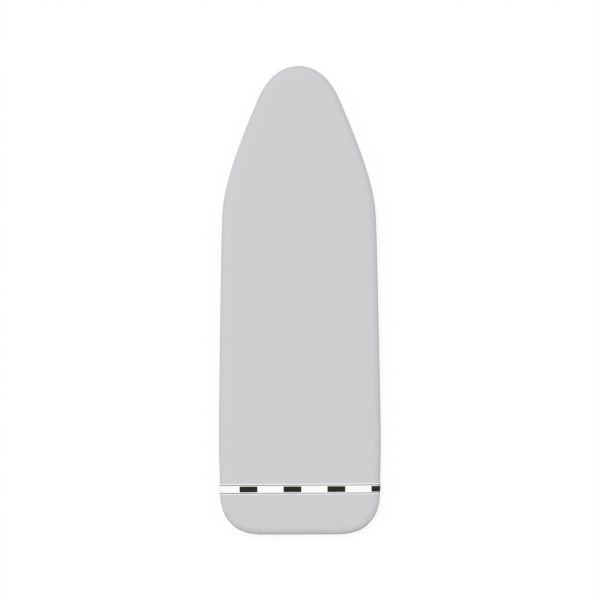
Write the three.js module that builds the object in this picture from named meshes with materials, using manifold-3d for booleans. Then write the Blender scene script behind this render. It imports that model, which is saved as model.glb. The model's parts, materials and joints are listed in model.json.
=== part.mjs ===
// A fitted ironing board cover, lying flat with its face up.
// Millimetres, +Z up, nose towards +Y, width along X. The origin is the middle of the underside.
import * as THREE from 'three';
import { mergeVertices } from 'three/addons/utils/BufferGeometryUtils.js';
import Module from 'manifold-3d';

const wasm = await Module();
wasm.setup();

// Size of the cover on its board
const COVER_LENGTH = 1250;
const COVER_WIDTH = 432;
const BOARD_SPACE = 20;

// Layers, from the face down
const CLOTH_THICKNESS = 0.8;
const FOAM_THICKNESS = 4;
const FELT_THICKNESS = 4;
const LAYER_GAP = 0.3;
const PAD_EDGE_CLEARANCE = 2;

// Shape of the fitted edge
const TOP_ROUND_PLAN = 24;
const TOP_ROUND_DROP = 16;
const TURN_RADIUS = 8;
const SKIRT_DEPTH = 60;

// Hem casing and the drawstring inside it
const CASING_WIDTH = 9;
const CASING_HEIGHT = 5.5;
const CASING_WALL = 0.75;
const CASING_CHAMFER = 1.4;
const CORD_DIAMETER = 2.6;
const CORD_BEND_RADIUS = 9.5;

// Cord lock
const LOCK_LENGTH = 32;
const LOCK_DEPTH = 16;
const LOCK_THICKNESS = 8;
const LOCK_CORNER = 5;
const LOCK_EDGE_BEVEL = 0.8;
const LOCK_WALL = 1.3;
const LOCK_FLOOR_CLEARANCE = 0.2;
const LOCK_HEM_CLEARANCE = 1.5;
const LOCK_RUN = 40;
const LOCK_HOLE_CLEARANCE = 0.6;
const CORD_SPACING = 9;
const BUTTON_TRAVEL = 3;
const BUTTON_PROUD = 1;
const BUTTON_END_WALL = 1.7;
const BUTTON_CORNER = 3;
const BUTTON_EDGE_BEVEL = 0.5;
const RUNNING_CLEARANCE = 0.3;
const SPRING_TURNS = 4;
const SPRING_MEAN_RADIUS = 1.8;
const SPRING_WIRE = 0.5;

// Moulded ends on the cord
const CORD_END_LENGTH = 9;
const CORD_END_RADIUS = 2.8;
const CORD_END_MOUTH_RADIUS = 2.2;
const CORD_END_TIP_RADIUS = 2.3;
const CORD_END_TAPER = 1.6;
const CORD_END_BORE = 6;
const CORD_END_CLEARANCE = 1;

// Ribbon across the tail end
const RIBBON_FROM_TAIL = 123;
const RIBBON_WIDTH = 30;
const RIBBON_THICKNESS = 0.8;
const RIBBON_TUCK = 25;

// Straps under the cover
const STRAP_PLACE_SHARES = [0.18, 0.46, 0.74];
const STRAP_WIDTH = 38;
const STRAP_THICKNESS = 1.2;
const STRAP_SEWN_OVERLAP = 17;
const STRAP_ROOT_REACH = 6;
const STRAP_RISE_LENGTH = 8;
const PATCH_THICKNESS = 1;
const PATCH_LENGTH = 26;
const PATCH_WIDTH = 34;
const PATCH_FROM_SIDE = 22;
const STRAP_TIP_LENGTH = 5;

// Outline from the nose tip to the flat of the tail, as Bezier stretches.
// Each point is a share of half the width and a share of the length from the nose tip.
const OUTLINE_SHARES = [
  { points: [[0, 0], [0.14, 0], [0.355, 0.012], [0.5, 0.07]], steps: 8 },
  { points: [[0.5, 0.07], [0.935, 0.244], [0.936, 0.291], [0.949, 0.323]], steps: 7 },
  { points: [[0.949, 0.323], [0.962, 0.356], [1, 0.748], [1, 0.796]], steps: 4 },
  { points: [[1, 0.796], [1, 0.812], [0.9875, 0.909], [0.986, 0.917]], steps: 3 },
  { points: [[0.986, 0.917], [0.98, 0.951], [0.884, 1], [0.468, 1]], steps: 8 },
];

// Steps of the round stretches
const TOP_STEPS = 4;
const TURN_STEPS = 3;
const CORD_SIDES = 8;
const BEND_STEPS = 4;
const HOLE_SIDES = 16;
const CORNER_STEPS = 4;
const CORD_END_SIDES = 14;
const SPRING_SIDES = 5;
const SPRING_TURN_STEPS = 8;

// One overrun for every cut
const OVERRUN = 5;

// Heights, worked out from the floor up
const STRAP_SEWN_THICKNESS = 2 * STRAP_THICKNESS;
const CASING_BOTTOM = STRAP_SEWN_THICKNESS + LAYER_GAP;
const BOARD_BOTTOM = CASING_BOTTOM + CASING_HEIGHT;
const SKIRT_BOTTOM = BOARD_BOTTOM - CLOTH_THICKNESS;
const FELT_BOTTOM = BOARD_BOTTOM + BOARD_SPACE;
const FOAM_BOTTOM = FELT_BOTTOM + FELT_THICKNESS + LAYER_GAP;
const COVER_TOP = FOAM_BOTTOM + FOAM_THICKNESS + LAYER_GAP + CLOTH_THICKNESS;
const CASING_MIDDLE = CASING_BOTTOM + CASING_HEIGHT / 2;
const LOCK_MIDDLE = LOCK_FLOOR_CLEARANCE + LOCK_THICKNESS / 2;

// Places in plan
const TAIL_Y = -COVER_LENGTH / 2;
const CASING_INSET = SKIRT_DEPTH + LAYER_GAP + CASING_WIDTH / 2;
const HEM_Y = TAIL_Y + CASING_INSET;
const HEM_GAP_HALF = CORD_SPACING / 2 + CORD_BEND_RADIUS;
const BEND_END_Y = HEM_Y + CORD_BEND_RADIUS;
const LOCK_NEAR_Y = BEND_END_Y + LOCK_HEM_CLEARANCE;
const LOCK_FAR_Y = LOCK_NEAR_Y + LOCK_DEPTH;
const CORD_END_MOUTH_Y = LOCK_FAR_Y + LOCK_RUN + CORD_END_CLEARANCE;

const CORD_RADIUS = CORD_DIAMETER / 2;

// Materials
function material(name, color, roughness) {
  return new THREE.MeshStandardMaterial({ name, color, roughness, metalness: 0 });
}
const faceCotton = material('face_cotton', 0xcfcfd1, 0.75);
const foam = material('pad_foam', 0xe9e6dc, 0.95);
const felt = material('pad_felt', 0xd9d6cf, 0.98);
const ribbonWeave = material('ribbon_weave', 0xf4f4f2, 0.7);
const hemTape = material('hem_tape', 0xb9b9bc, 0.8);
const whiteCord = material('drawstring_cord', 0xefefec, 0.8);
const lockPlastic = material('lock_plastic', 0x2c2c2e, 0.45);
const buttonPlastic = material('button_plastic', 0x3b3b3e, 0.4);
const springSteel = new THREE.MeshStandardMaterial({
  name: 'spring_steel', color: 0xb4b6b8, roughness: 0.3, metalness: 1,
});
const webbing = material('elastic_webbing', 0xe8e8e6, 0.85);
const hookTape = material('hook_tape', 0xf1f1ef, 0.7);
const loopTape = material('loop_tape', 0xdcdcda, 0.98);

const cover = new THREE.Group();

function addMesh(name, geometry, surface, parent = cover) {
  const mesh = new THREE.Mesh(geometry, surface);
  mesh.name = name;
  parent.add(mesh);
  return mesh;
}

// Outline stations, each with its place and the direction that points into the cover.
// They run from the nose tip down the right side to the end of the tail's flat.
function rightStations() {
  const stations = [];
  OUTLINE_SHARES.forEach(({ points, steps }, index) => {
    const corners = points.map(([w, l]) =>
      new THREE.Vector2(w * COVER_WIDTH / 2, COVER_LENGTH / 2 - l * COVER_LENGTH));
    const curve = new THREE.CubicBezierCurve(...corners);
    for (let i = index === 0 ? 0 : 1; i <= steps; i++) {
      const place = curve.getPoint(i / steps);
      const tangent = curve.getTangent(i / steps);
      stations.push({ place, inward: new THREE.Vector2(tangent.y, -tangent.x) });
    }
  });
  return stations;
}

const RIGHT = rightStations();

function mirrored({ place, inward }) {
  return {
    place: new THREE.Vector2(-place.x, place.y),
    inward: new THREE.Vector2(-inward.x, inward.y),
  };
}

// The whole outline, closed, from the nose tip round by the right side
const LOOP = [...RIGHT, ...RIGHT.slice(1).reverse().map(mirrored)];

function insetPoint({ place, inward }, inset) {
  return place.clone().addScaledVector(inward, inset);
}

function ring(stations, inset, z) {
  return stations.map((station) => {
    const p = insetPoint(station, inset);
    return [p.x, p.y, z];
  });
}

// Half the width of the outline at a place along the length, drawn in by an inset
function halfWidthAt(y, inset = 0) {
  const points = RIGHT.map((station) => insetPoint(station, inset));
  const next = points.findIndex((point) => point.y <= y);
  const [a, b] = [points[next - 1], points[next]];
  return a.x + (b.x - a.x) * (a.y - y) / (a.y - b.y);
}

// Section of the fitted edge: pairs of inset and height, from the flat top to the flat skirt.
// A depth of zero is the outer surface, and a negative depth lies outside it.
function edgeSection(depth) {
  const section = [];
  for (let i = 0; i <= TOP_STEPS; i++) {
    const turn = Math.PI / 2 * (1 - i / TOP_STEPS);
    section.push([
      TOP_ROUND_PLAN - (TOP_ROUND_PLAN - depth) * Math.cos(turn),
      COVER_TOP - TOP_ROUND_DROP + (TOP_ROUND_DROP - depth) * Math.sin(turn),
    ]);
  }
  for (let i = 0; i <= TURN_STEPS; i++) {
    const turn = Math.PI / 2 * i / TURN_STEPS;
    section.push([
      TURN_RADIUS - (TURN_RADIUS - depth) * Math.cos(turn),
      SKIRT_BOTTOM + TURN_RADIUS - (TURN_RADIUS - depth) * Math.sin(turn),
    ]);
  }
  return section;
}

// How far the cloth's inner surface lies inside the outline at a height in the top round
function innerInsetAt(z) {
  const section = edgeSection(CLOTH_THICKNESS);
  const next = section.findIndex(([, height]) => height <= z);
  const [[insetA, za], [insetB, zb]] = [section[next - 1], section[next]];
  return insetA + (insetB - insetA) * (za - z) / (za - zb);
}

// A closed mesh from points and triangles, turned so that its faces point out
function closedGeometry(points, triangles) {
  const [a, b, c] = [new THREE.Vector3(), new THREE.Vector3(), new THREE.Vector3()];
  let volume = 0;
  for (const [i, j, k] of triangles) {
    a.fromArray(points[i]);
    b.fromArray(points[j]);
    c.fromArray(points[k]);
    volume += a.dot(b.cross(c));
  }
  const facing = volume > 0 ? triangles : triangles.map(([i, j, k]) => [i, k, j]);
  const geometry = new THREE.BufferGeometry();
  geometry.setAttribute('position', new THREE.Float32BufferAttribute(points.flat(), 3));
  geometry.setIndex(facing.flat());
  geometry.computeVertexNormals();
  return geometry;
}

function bandTriangles(rings, size) {
  const triangles = [];
  for (let r = 0; r + 1 < rings; r++) {
    for (let i = 0; i < size; i++) {
      const j = (i + 1) % size;
      const [low, high] = [r * size, (r + 1) * size];
      triangles.push([low + i, low + j, high + j], [low + i, high + j, high + i]);
    }
  }
  return triangles;
}

// The flat inside of a loop, as a ladder between its right side and its left
function loopLid(size) {
  const triangles = [[0, 1, size - 1]];
  for (let i = 1; i + 1 < size / 2; i++) {
    triangles.push([i, i + 1, size - i - 1], [i, size - i - 1, size - i]);
  }
  return triangles;
}

// A stack of rings of the outline's loop, closed by a flat face on its first and its last
function stackedRings(rings) {
  const size = rings[0].length;
  const triangles = bandTriangles(rings.length, size);
  const last = (rings.length - 1) * size;
  for (const [i, j, k] of loopLid(size)) {
    triangles.push([k, j, i], [last + i, last + j, last + k]);
  }
  return closedGeometry(rings.flat(), triangles);
}

// Rings that are each an outer path and the inner path back, closed by strips between the two
function stripEnded(rings) {
  const size = rings[0].length;
  const triangles = bandTriangles(rings.length, size);
  const last = (rings.length - 1) * size;
  for (let i = 0; i + 1 < size / 2; i++) {
    const [back, next] = [size - 1 - i, size - 2 - i];
    triangles.push([i + 1, i, back], [i + 1, back, next]);
    triangles.push([last + i, last + i + 1, last + back], [last + i + 1, last + next, last + back]);
  }
  return closedGeometry(rings.flat(), triangles);
}

// A section of pairs, sideways and up, at each station of a level route
function sectionRings(stations, section) {
  return stations.map(({ place, inward, z }) => section.map(([side, up]) => [
    place.x + inward.x * side, place.y + inward.y * side, z + up,
  ]));
}

function solidSweep(stations, section) {
  const size = section.length;
  const rings = sectionRings(stations, section);
  const triangles = bandTriangles(rings.length, size);
  const last = (rings.length - 1) * size;
  for (let i = 1; i + 1 < size; i++) {
    triangles.push([0, i + 1, i], [last, last + i, last + i + 1]);
  }
  return closedGeometry(rings.flat(), triangles);
}

function hollowSweep(stations, outer, inner) {
  const size = outer.length;
  const outerRings = sectionRings(stations, outer);
  const innerRings = sectionRings(stations, inner);
  const shift = outerRings.length * size;
  const triangles = bandTriangles(outerRings.length, size);
  for (const [i, j, k] of bandTriangles(innerRings.length, size)) {
    triangles.push([shift + i, shift + k, shift + j]);
  }
  const last = (outerRings.length - 1) * size;
  for (let i = 0; i < size; i++) {
    const j = (i + 1) % size;
    triangles.push([i, shift + j, j], [i, shift + i, shift + j]);
    triangles.push([last + i, last + j, last + shift + j], [last + i, last + shift + j, last + shift + i]);
  }
  return closedGeometry([...outerRings, ...innerRings].flat(), triangles);
}

function chamferedSection(width, height, chamfer) {
  const [w, h] = [width / 2, height / 2];
  return [
    [w, -h + chamfer], [w, h - chamfer], [w - chamfer, h], [-w + chamfer, h],
    [-w, h - chamfer], [-w, -h + chamfer], [-w + chamfer, -h], [w - chamfer, -h],
  ];
}

function roundSection(radius, sides) {
  return Array.from({ length: sides }, (_, i) => {
    const turn = 2 * Math.PI * (i + 0.5) / sides;
    return [radius * Math.cos(turn), radius * Math.sin(turn)];
  });
}

// Joins and cuts
function manifoldOf(geometry) {
  const bare = geometry.clone();
  bare.deleteAttribute('normal');
  bare.deleteAttribute('uv');
  const merged = mergeVertices(bare);
  return new wasm.Manifold(new wasm.Mesh({
    numProp: 3,
    vertProperties: new Float32Array(merged.attributes.position.array),
    triVerts: new Uint32Array(merged.index.array),
  }));
}

function cut(geometry, ...tools) {
  let solid = manifoldOf(geometry);
  for (const tool of tools) solid = solid.subtract(manifoldOf(tool));
  const { numProp, vertProperties, triVerts } = solid.getMesh();
  const result = new THREE.BufferGeometry();
  result.setAttribute('position', new THREE.BufferAttribute(new Float32Array(vertProperties), numProp));
  result.setIndex(new THREE.BufferAttribute(new Uint32Array(triVerts), 1));
  result.computeVertexNormals();
  return result;
}

function box(x0, x1, y0, y1, z0, z1) {
  const geometry = new THREE.BoxGeometry(x1 - x0, y1 - y0, z1 - z0);
  return geometry.translate((x0 + x1) / 2, (y0 + y1) / 2, (z0 + z1) / 2);
}

function roundedRectangle(x0, x1, y0, y1, corner) {
  const shape = new THREE.Shape();
  shape.moveTo(x0 + corner, y0);
  shape.lineTo(x1 - corner, y0);
  shape.absarc(x1 - corner, y0 + corner, corner, -Math.PI / 2, 0);
  shape.lineTo(x1, y1 - corner);
  shape.absarc(x1 - corner, y1 - corner, corner, 0, Math.PI / 2);
  shape.lineTo(x0 + corner, y1);
  shape.absarc(x0 + corner, y1 - corner, corner, Math.PI / 2, Math.PI);
  shape.lineTo(x0, y0 + corner);
  shape.absarc(x0 + corner, y0 + corner, corner, Math.PI, 3 * Math.PI / 2);
  return shape;
}

// A plate with eased edges, its outline full size at mid height
function easedPlate(x0, x1, y0, y1, corner, z0, z1, bevel) {
  const shape = roundedRectangle(x0 + bevel, x1 - bevel, y0 + bevel, y1 - bevel, corner - bevel);
  const geometry = new THREE.ExtrudeGeometry(shape, {
    depth: z1 - z0 - 2 * bevel, bevelThickness: bevel, bevelSize: bevel, bevelSegments: 1,
    curveSegments: CORNER_STEPS,
  });
  return geometry.translate(0, 0, z0 + bevel);
}

// Face cloth: the top and the skirt turned under are one piece
function faceCloth() {
  const rings = [];
  for (const [inset, z] of edgeSection(0)) rings.push(ring(LOOP, inset, z));
  rings.push(ring(LOOP, SKIRT_DEPTH, SKIRT_BOTTOM));
  rings.push(ring(LOOP, SKIRT_DEPTH, BOARD_BOTTOM));
  for (const [inset, z] of edgeSection(CLOTH_THICKNESS).reverse()) rings.push(ring(LOOP, inset, z));
  addMesh('face_cloth', stackedRings(rings), faceCotton);
}

// Pads: their edges lean in under the top round of the cloth
function padLayer(name, bottom, thickness, surface) {
  const rings = [bottom, bottom + thickness].map((z) =>
    ring(LOOP, innerInsetAt(z) + PAD_EDGE_CLEARANCE, z));
  addMesh(name, stackedRings(rings), surface);
}

// Ribbon: lies on the cloth, goes over both sides and is tucked under
function ribbonBand() {
  const middle = TAIL_Y + RIBBON_FROM_TAIL;
  const places = [middle - RIBBON_WIDTH / 2, middle, middle + RIBBON_WIDTH / 2];
  const path = (depth, y) => {
    const section = [...edgeSection(depth), [RIBBON_TUCK, SKIRT_BOTTOM + depth]];
    const right = section.map(([inset, z]) => [halfWidthAt(y, inset), y, z]);
    const left = right.map(([x, , z]) => [-x, y, z]).reverse();
    return [...left, ...right];
  };
  const rings = places.map((y) => [
    ...path(-LAYER_GAP - RIBBON_THICKNESS, y),
    ...path(-LAYER_GAP, y).reverse(),
  ]);
  addMesh('ribbon_band', stripEnded(rings), ribbonWeave);
}

// Route of the hem, open at the gap in the tail where the cord comes out
function hemStations() {
  const side = RIGHT.map((station) => ({
    place: insetPoint(station, CASING_INSET), inward: station.inward, z: CASING_MIDDLE,
  }));
  const end = {
    place: new THREE.Vector2(HEM_GAP_HALF, HEM_Y), inward: new THREE.Vector2(0, 1), z: CASING_MIDDLE,
  };
  return [...side, end];
}

function bothSides(rightSide) {
  const left = rightSide.slice(1).map((station) => ({ ...station, ...mirrored(station) }));
  return [...left.reverse(), ...rightSide];
}

function hemCasing() {
  const outer = chamferedSection(CASING_WIDTH, CASING_HEIGHT, CASING_CHAMFER);
  const inner = chamferedSection(CASING_WIDTH - 2 * CASING_WALL, CASING_HEIGHT - 2 * CASING_WALL,
    CASING_CHAMFER - CASING_WALL / 2);
  addMesh('hem_casing', hollowSweep(bothSides(hemStations()), outer, inner), hemTape);
}

// Drawstring: one cord, round the hem, out of the gap and through the cord lock
function drawstring() {
  const route = hemStations();
  for (let i = 1; i <= BEND_STEPS; i++) {
    const turn = Math.PI / 2 * i / BEND_STEPS;
    const direction = new THREE.Vector2(Math.sin(turn), Math.cos(turn));
    route.push({
      place: new THREE.Vector2(HEM_GAP_HALF - CORD_BEND_RADIUS * direction.x,
        BEND_END_Y - CORD_BEND_RADIUS * direction.y),
      inward: direction,
      z: CASING_MIDDLE + (LOCK_MIDDLE - CASING_MIDDLE) * i / BEND_STEPS,
    });
  }
  const reach = CORD_END_MOUTH_Y + CORD_END_BORE - LAYER_GAP;
  route.push({
    place: new THREE.Vector2(CORD_SPACING / 2, reach),
    inward: new THREE.Vector2(1, 0),
    z: LOCK_MIDDLE,
  });
  addMesh('drawstring', solidSweep(bothSides(route), roundSection(CORD_RADIUS, CORD_SIDES)), whiteCord);
}

function cordEnds() {
  const boreRadius = CORD_RADIUS + LAYER_GAP;
  const profile = [
    [0, 0], [CORD_END_TIP_RADIUS, 0], [CORD_END_RADIUS, CORD_END_TAPER],
    [CORD_END_RADIUS, CORD_END_LENGTH - CORD_END_TAPER], [CORD_END_MOUTH_RADIUS, CORD_END_LENGTH],
    [boreRadius, CORD_END_LENGTH], [boreRadius, CORD_END_LENGTH - CORD_END_BORE],
    [0, CORD_END_LENGTH - CORD_END_BORE],
  ].map(([r, along]) => new THREE.Vector2(r, along));
  for (const [name, side] of [['cord_end_left', -1], ['cord_end_right', 1]]) {
    const mesh = addMesh(name, new THREE.LatheGeometry(profile, CORD_END_SIDES), lockPlastic);
    mesh.rotation.z = Math.PI;
    mesh.position.set(side * CORD_SPACING / 2, CORD_END_MOUTH_Y + CORD_END_LENGTH, LOCK_MIDDLE);
  }
}

// Cord lock: a shell with a sprung button, each crossed by the two runs of the cord.
// It is drawn round its own middle, with the button's push along -X.
function cordLock() {
  const lock = new THREE.Group();
  lock.position.set(0, LOCK_NEAR_Y + LOCK_DEPTH / 2, LOCK_MIDDLE);
  cover.add(lock);

  const [halfLength, halfDepth, halfThick] = [LOCK_LENGTH / 2, LOCK_DEPTH / 2, LOCK_THICKNESS / 2];
  const [roomDepth, roomThick] = [halfDepth - LOCK_WALL, halfThick - LOCK_WALL];
  const roomEnd = -halfLength + LOCK_WALL;
  const holes = [-1, 1].map((side) => new THREE.CylinderGeometry(
    CORD_RADIUS + LOCK_HOLE_CLEARANCE, CORD_RADIUS + LOCK_HOLE_CLEARANCE,
    LOCK_DEPTH + 2 * OVERRUN, HOLE_SIDES).translate(side * CORD_SPACING / 2, 0, 0));
  const shell = easedPlate(-halfLength, halfLength, -halfDepth, halfDepth, LOCK_CORNER,
    -halfThick, halfThick, LOCK_EDGE_BEVEL);
  const room = box(roomEnd, halfLength + OVERRUN, -roomDepth, roomDepth, -roomThick, roomThick);
  addMesh('cord_lock_body', cut(shell, room, ...holes), lockPlastic, lock);

  const slotHalf = CORD_RADIUS + RUNNING_CLEARANCE;
  const slotEnd = slotHalf + BUTTON_TRAVEL;
  const buttonStart = -CORD_SPACING / 2 - slotHalf - BUTTON_END_WALL;
  const buttonEnd = halfLength + BUTTON_PROUD + BUTTON_TRAVEL;
  const [buttonDepth, buttonThick] = [roomDepth - RUNNING_CLEARANCE, roomThick - RUNNING_CLEARANCE];
  const slots = [-1, 1].map((side) => {
    const middle = side * CORD_SPACING / 2;
    return box(middle - slotHalf, middle + slotEnd, -halfDepth, halfDepth, -slotHalf, slotHalf);
  });
  const blank = easedPlate(buttonStart, buttonEnd, -buttonDepth, buttonDepth, BUTTON_CORNER,
    -buttonThick, buttonThick, BUTTON_EDGE_BEVEL);
  addMesh('cord_lock_button', cut(blank, ...slots), buttonPlastic, lock);

  addSpring(lock, roomEnd + RUNNING_CLEARANCE, buttonStart - RUNNING_CLEARANCE);
}

class SpringCurve extends THREE.Curve {
  constructor(start, end) {
    super();
    this.start = start;
    this.end = end;
  }

  getPoint(t, target = new THREE.Vector3()) {
    const turn = 2 * Math.PI * SPRING_TURNS * t;
    return target.set(this.start + (this.end - this.start) * t,
      SPRING_MEAN_RADIUS * Math.cos(turn), SPRING_MEAN_RADIUS * Math.sin(turn));
  }
}

function addSpring(lock, from, to) {
  const section = new THREE.Shape(roundSection(SPRING_WIRE / 2, SPRING_SIDES)
    .map(([x, y]) => new THREE.Vector2(x, y)));
  const geometry = new THREE.ExtrudeGeometry(section, {
    steps: SPRING_TURNS * SPRING_TURN_STEPS,
    extrudePath: new SpringCurve(from + SPRING_WIRE / 2, to - SPRING_WIRE / 2),
  });
  addMesh('cord_lock_spring', geometry, springSteel, lock);
}

// A flat piece of the strap's width, from its side view as points of X and Z
function acrossStrap(name, sideView, y, width, surface) {
  const shape = new THREE.Shape(sideView.map(([x, z]) => new THREE.Vector2(x, z)));
  const geometry = new THREE.ExtrudeGeometry(shape, { depth: width, bevelEnabled: false });
  const mesh = addMesh(name, geometry, surface);
  mesh.rotation.x = Math.PI / 2;
  mesh.position.y = y + width / 2;
}

function slab(x0, x1, z0, z1) {
  return [[x0, z0], [x1, z0], [x1, z1], [x0, z1]];
}

// Straps: each is sewn under the left hem and presses onto a loop patch under the right skirt
function strap(number, share) {
  const y = TAIL_Y + share * COVER_LENGTH;
  const half = halfWidthAt(y);
  const casingInner = CASING_INSET + CASING_WIDTH / 2;
  const sewnInner = -half + casingInner + STRAP_ROOT_REACH;
  const sewnOuter = sewnInner - STRAP_ROOT_REACH - STRAP_SEWN_OVERLAP;
  acrossStrap(`strap_${number}_sewn_end`, slab(sewnOuter, sewnInner, 0, STRAP_SEWN_THICKNESS),
    y, STRAP_WIDTH, webbing);

  const patchOuter = half - PATCH_FROM_SIDE;
  const patchInner = patchOuter - PATCH_LENGTH;
  const loopBottom = SKIRT_BOTTOM - LAYER_GAP - PATCH_THICKNESS;
  const hookBottom = loopBottom - LAYER_GAP - PATCH_THICKNESS;
  const raised = hookBottom - LAYER_GAP - STRAP_THICKNESS;
  const webStart = sewnInner + LAYER_GAP;
  const webEnd = patchOuter + STRAP_TIP_LENGTH;
  const riseEnd = patchInner;
  const riseStart = riseEnd - STRAP_RISE_LENGTH;
  acrossStrap(`strap_${number}_web`, [
    [webStart, 0], [riseStart, 0], [riseEnd, raised], [webEnd, raised],
    [webEnd, raised + STRAP_THICKNESS], [riseEnd, raised + STRAP_THICKNESS],
    [riseStart, STRAP_THICKNESS], [webStart, STRAP_THICKNESS],
  ], y, STRAP_WIDTH, webbing);
  acrossStrap(`strap_${number}_hook_patch`,
    slab(patchInner, patchOuter, hookBottom, hookBottom + PATCH_THICKNESS), y, PATCH_WIDTH, hookTape);
  acrossStrap(`strap_${number}_loop_patch`,
    slab(patchInner, patchOuter, loopBottom, loopBottom + PATCH_THICKNESS), y, PATCH_WIDTH, loopTape);
}

faceCloth();
padLayer('foam_pad', FOAM_BOTTOM, FOAM_THICKNESS, foam);
padLayer('felt_underlay', FELT_BOTTOM, FELT_THICKNESS, felt);
ribbonBand();
hemCasing();
drawstring();
cordEnds();
cordLock();
STRAP_PLACE_SHARES.forEach((share, index) => strap(index + 1, share));

export default cover;
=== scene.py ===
import json
import math
import bmesh
import bpy
import numpy as np
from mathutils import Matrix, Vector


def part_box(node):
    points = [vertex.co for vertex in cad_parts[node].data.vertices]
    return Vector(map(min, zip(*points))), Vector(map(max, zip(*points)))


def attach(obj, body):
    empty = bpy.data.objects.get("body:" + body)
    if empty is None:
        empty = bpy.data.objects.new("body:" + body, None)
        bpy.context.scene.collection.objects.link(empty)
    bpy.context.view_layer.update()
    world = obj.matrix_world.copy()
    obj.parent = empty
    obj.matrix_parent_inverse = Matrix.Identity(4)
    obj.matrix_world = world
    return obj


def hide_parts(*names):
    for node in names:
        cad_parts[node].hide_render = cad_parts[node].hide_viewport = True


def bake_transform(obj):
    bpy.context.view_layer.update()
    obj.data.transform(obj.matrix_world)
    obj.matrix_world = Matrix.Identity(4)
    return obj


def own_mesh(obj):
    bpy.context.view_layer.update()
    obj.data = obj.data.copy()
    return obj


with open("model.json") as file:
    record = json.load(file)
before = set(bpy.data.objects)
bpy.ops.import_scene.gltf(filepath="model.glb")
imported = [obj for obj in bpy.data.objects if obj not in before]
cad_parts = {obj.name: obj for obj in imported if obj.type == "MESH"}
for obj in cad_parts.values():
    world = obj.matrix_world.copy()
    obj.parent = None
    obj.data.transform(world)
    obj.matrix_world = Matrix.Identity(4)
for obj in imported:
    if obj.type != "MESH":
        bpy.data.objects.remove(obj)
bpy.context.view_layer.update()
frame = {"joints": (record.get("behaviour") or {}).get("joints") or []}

# The photograph's view, straight down, its frame 600 pixels square
PHOTO_PIXELS = 600
PHOTO_METRES_ACROSS = 1.6015
PHOTO_AXIS_PIXEL_X = 299.32
PHOTO_MIDDLE_PIXEL_Y = 300.25
PHOTO_TILT = 0.00383
CAMERA_LENS_MM = 85
CAMERA_SENSOR_MM = 36

# Plain light: a sky that dims towards the nose and the tail, a glow from below and a soft sun
SKY_SHARE = 0.91
SKY_DIM_SHARE = 0.85
GLOW_SHARE = 0.74
HORIZON_SHARE = 0.25
SUN_SHARE = 0.28
SUN_DIRECTION_SHARES = (-0.32, 0.6, 1.0)
SUN_ANGLE = math.radians(18)
WHITE = (1, 1, 1)
FLOOR_SIDE = 40.0
FLOOR_PLAIN_SHARE = 0.86

# The cover's outline and edge section, the same as the solid's
cloth_low, cloth_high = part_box("face_cloth")
HALF_WIDTH = cloth_high.x
NOSE_Y = cloth_high.y
TAIL_Y = cloth_low.y
LENGTH = NOSE_Y - TAIL_Y
COVER_TOP = cloth_high.z
SKIRT_BOTTOM = cloth_low.z
TOP_ROUND_PLAN = 0.024
TOP_ROUND_DROP = 0.016
TURN_RADIUS = 0.008
SKIRT_DEPTH = 0.060
CLOTH_THICKNESS = 0.0008
LAYER_GAP = 0.0003
OUTLINE_SHARES = [
    [[0, 0], [0.14, 0], [0.355, 0.012], [0.5, 0.07]],
    [[0.5, 0.07], [0.935, 0.244], [0.936, 0.291], [0.949, 0.323]],
    [[0.949, 0.323], [0.962, 0.356], [1, 0.748], [1, 0.796]],
    [[1, 0.796], [1, 0.812], [0.9875, 0.909], [0.986, 0.917]],
    [[0.986, 0.917], [0.98, 0.951], [0.884, 1], [0.468, 1]],
    [[0.468, 1], [0.312, 1], [0.156, 1], [0, 1]],
]
FINE_STEP = 0.001
BEZIER_STEPS = 400
QUARTER_STEPS = 60

# How the points of a mesh are spread along the outline and down the edge, and how near ones are joined
ROUND_STEP = 0.0015
SIDE_STEP = 0.0045
PAD_ROUND_STEP = 0.006
PAD_SIDE_STEP = 0.012
FULL_BEND = 8.0
BEND_WINDOW = 0.06
SKIRT_ROWS = 14
TURN_ROWS = 6
EDGE_ROWS = 12
WELD = 1e-6

# Gathers of the skirt
GATHER_ON_SIDES_SHARE = 0.3
GATHER_HEIGHT = 0.0029
GATHER_PITCH_ROUND = 0.0092
GATHER_PITCH_SIDE = 0.02
GATHER_SEED = 11
GATHER_WANDER_WAVES = range(6, 60, 4)
GATHER_WANDER_SHARE = 0.32
GATHER_LEAST_SHARE = 0.2
GATHER_HEM_SHARE = 0.42
GATHER_RISE_SHARE = 0.8
GATHER_START_DOWN = 0.010
GATHER_FINE_START_SHARE = 0.25
GATHER_FINE_RISE_SHARE = 0.6
GATHER_FINE_TOP_SHARE = 0.25
GATHER_FINE_HEM_SHARE = 0.85
GATHER_COARSE_SHARE = 0.45
GATHER_COARSE_LEAD = 1.1
STRAP_CALM = 0.034
RIBBON_CALM = 0.03
RIBBON_CALM_MARGIN = 0.004
GAP_CALM = 0.05

# Softness of the face
SOFT_SEED = 5
SOFT_WAVES = 16
SOFT_WAVE_SHORTEST = 0.07
SOFT_WAVE_LONGEST = 0.21
SOFT_HEIGHT = 0.00007
SOFT_EDGE = 0.05
SOFT_RIM_CHUNKS = 12
TOP_ROWS = 11
SPINE_FROM_NOSE = 0.10
SPINE_FROM_TAIL = 0.17

# Pads
PAD_CLEARANCE = 0.0044
PAD_EDGE_ROUND = 0.0009
PAD_EDGE_POINTS = 10
PAD_LID_ROWS = 8

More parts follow.
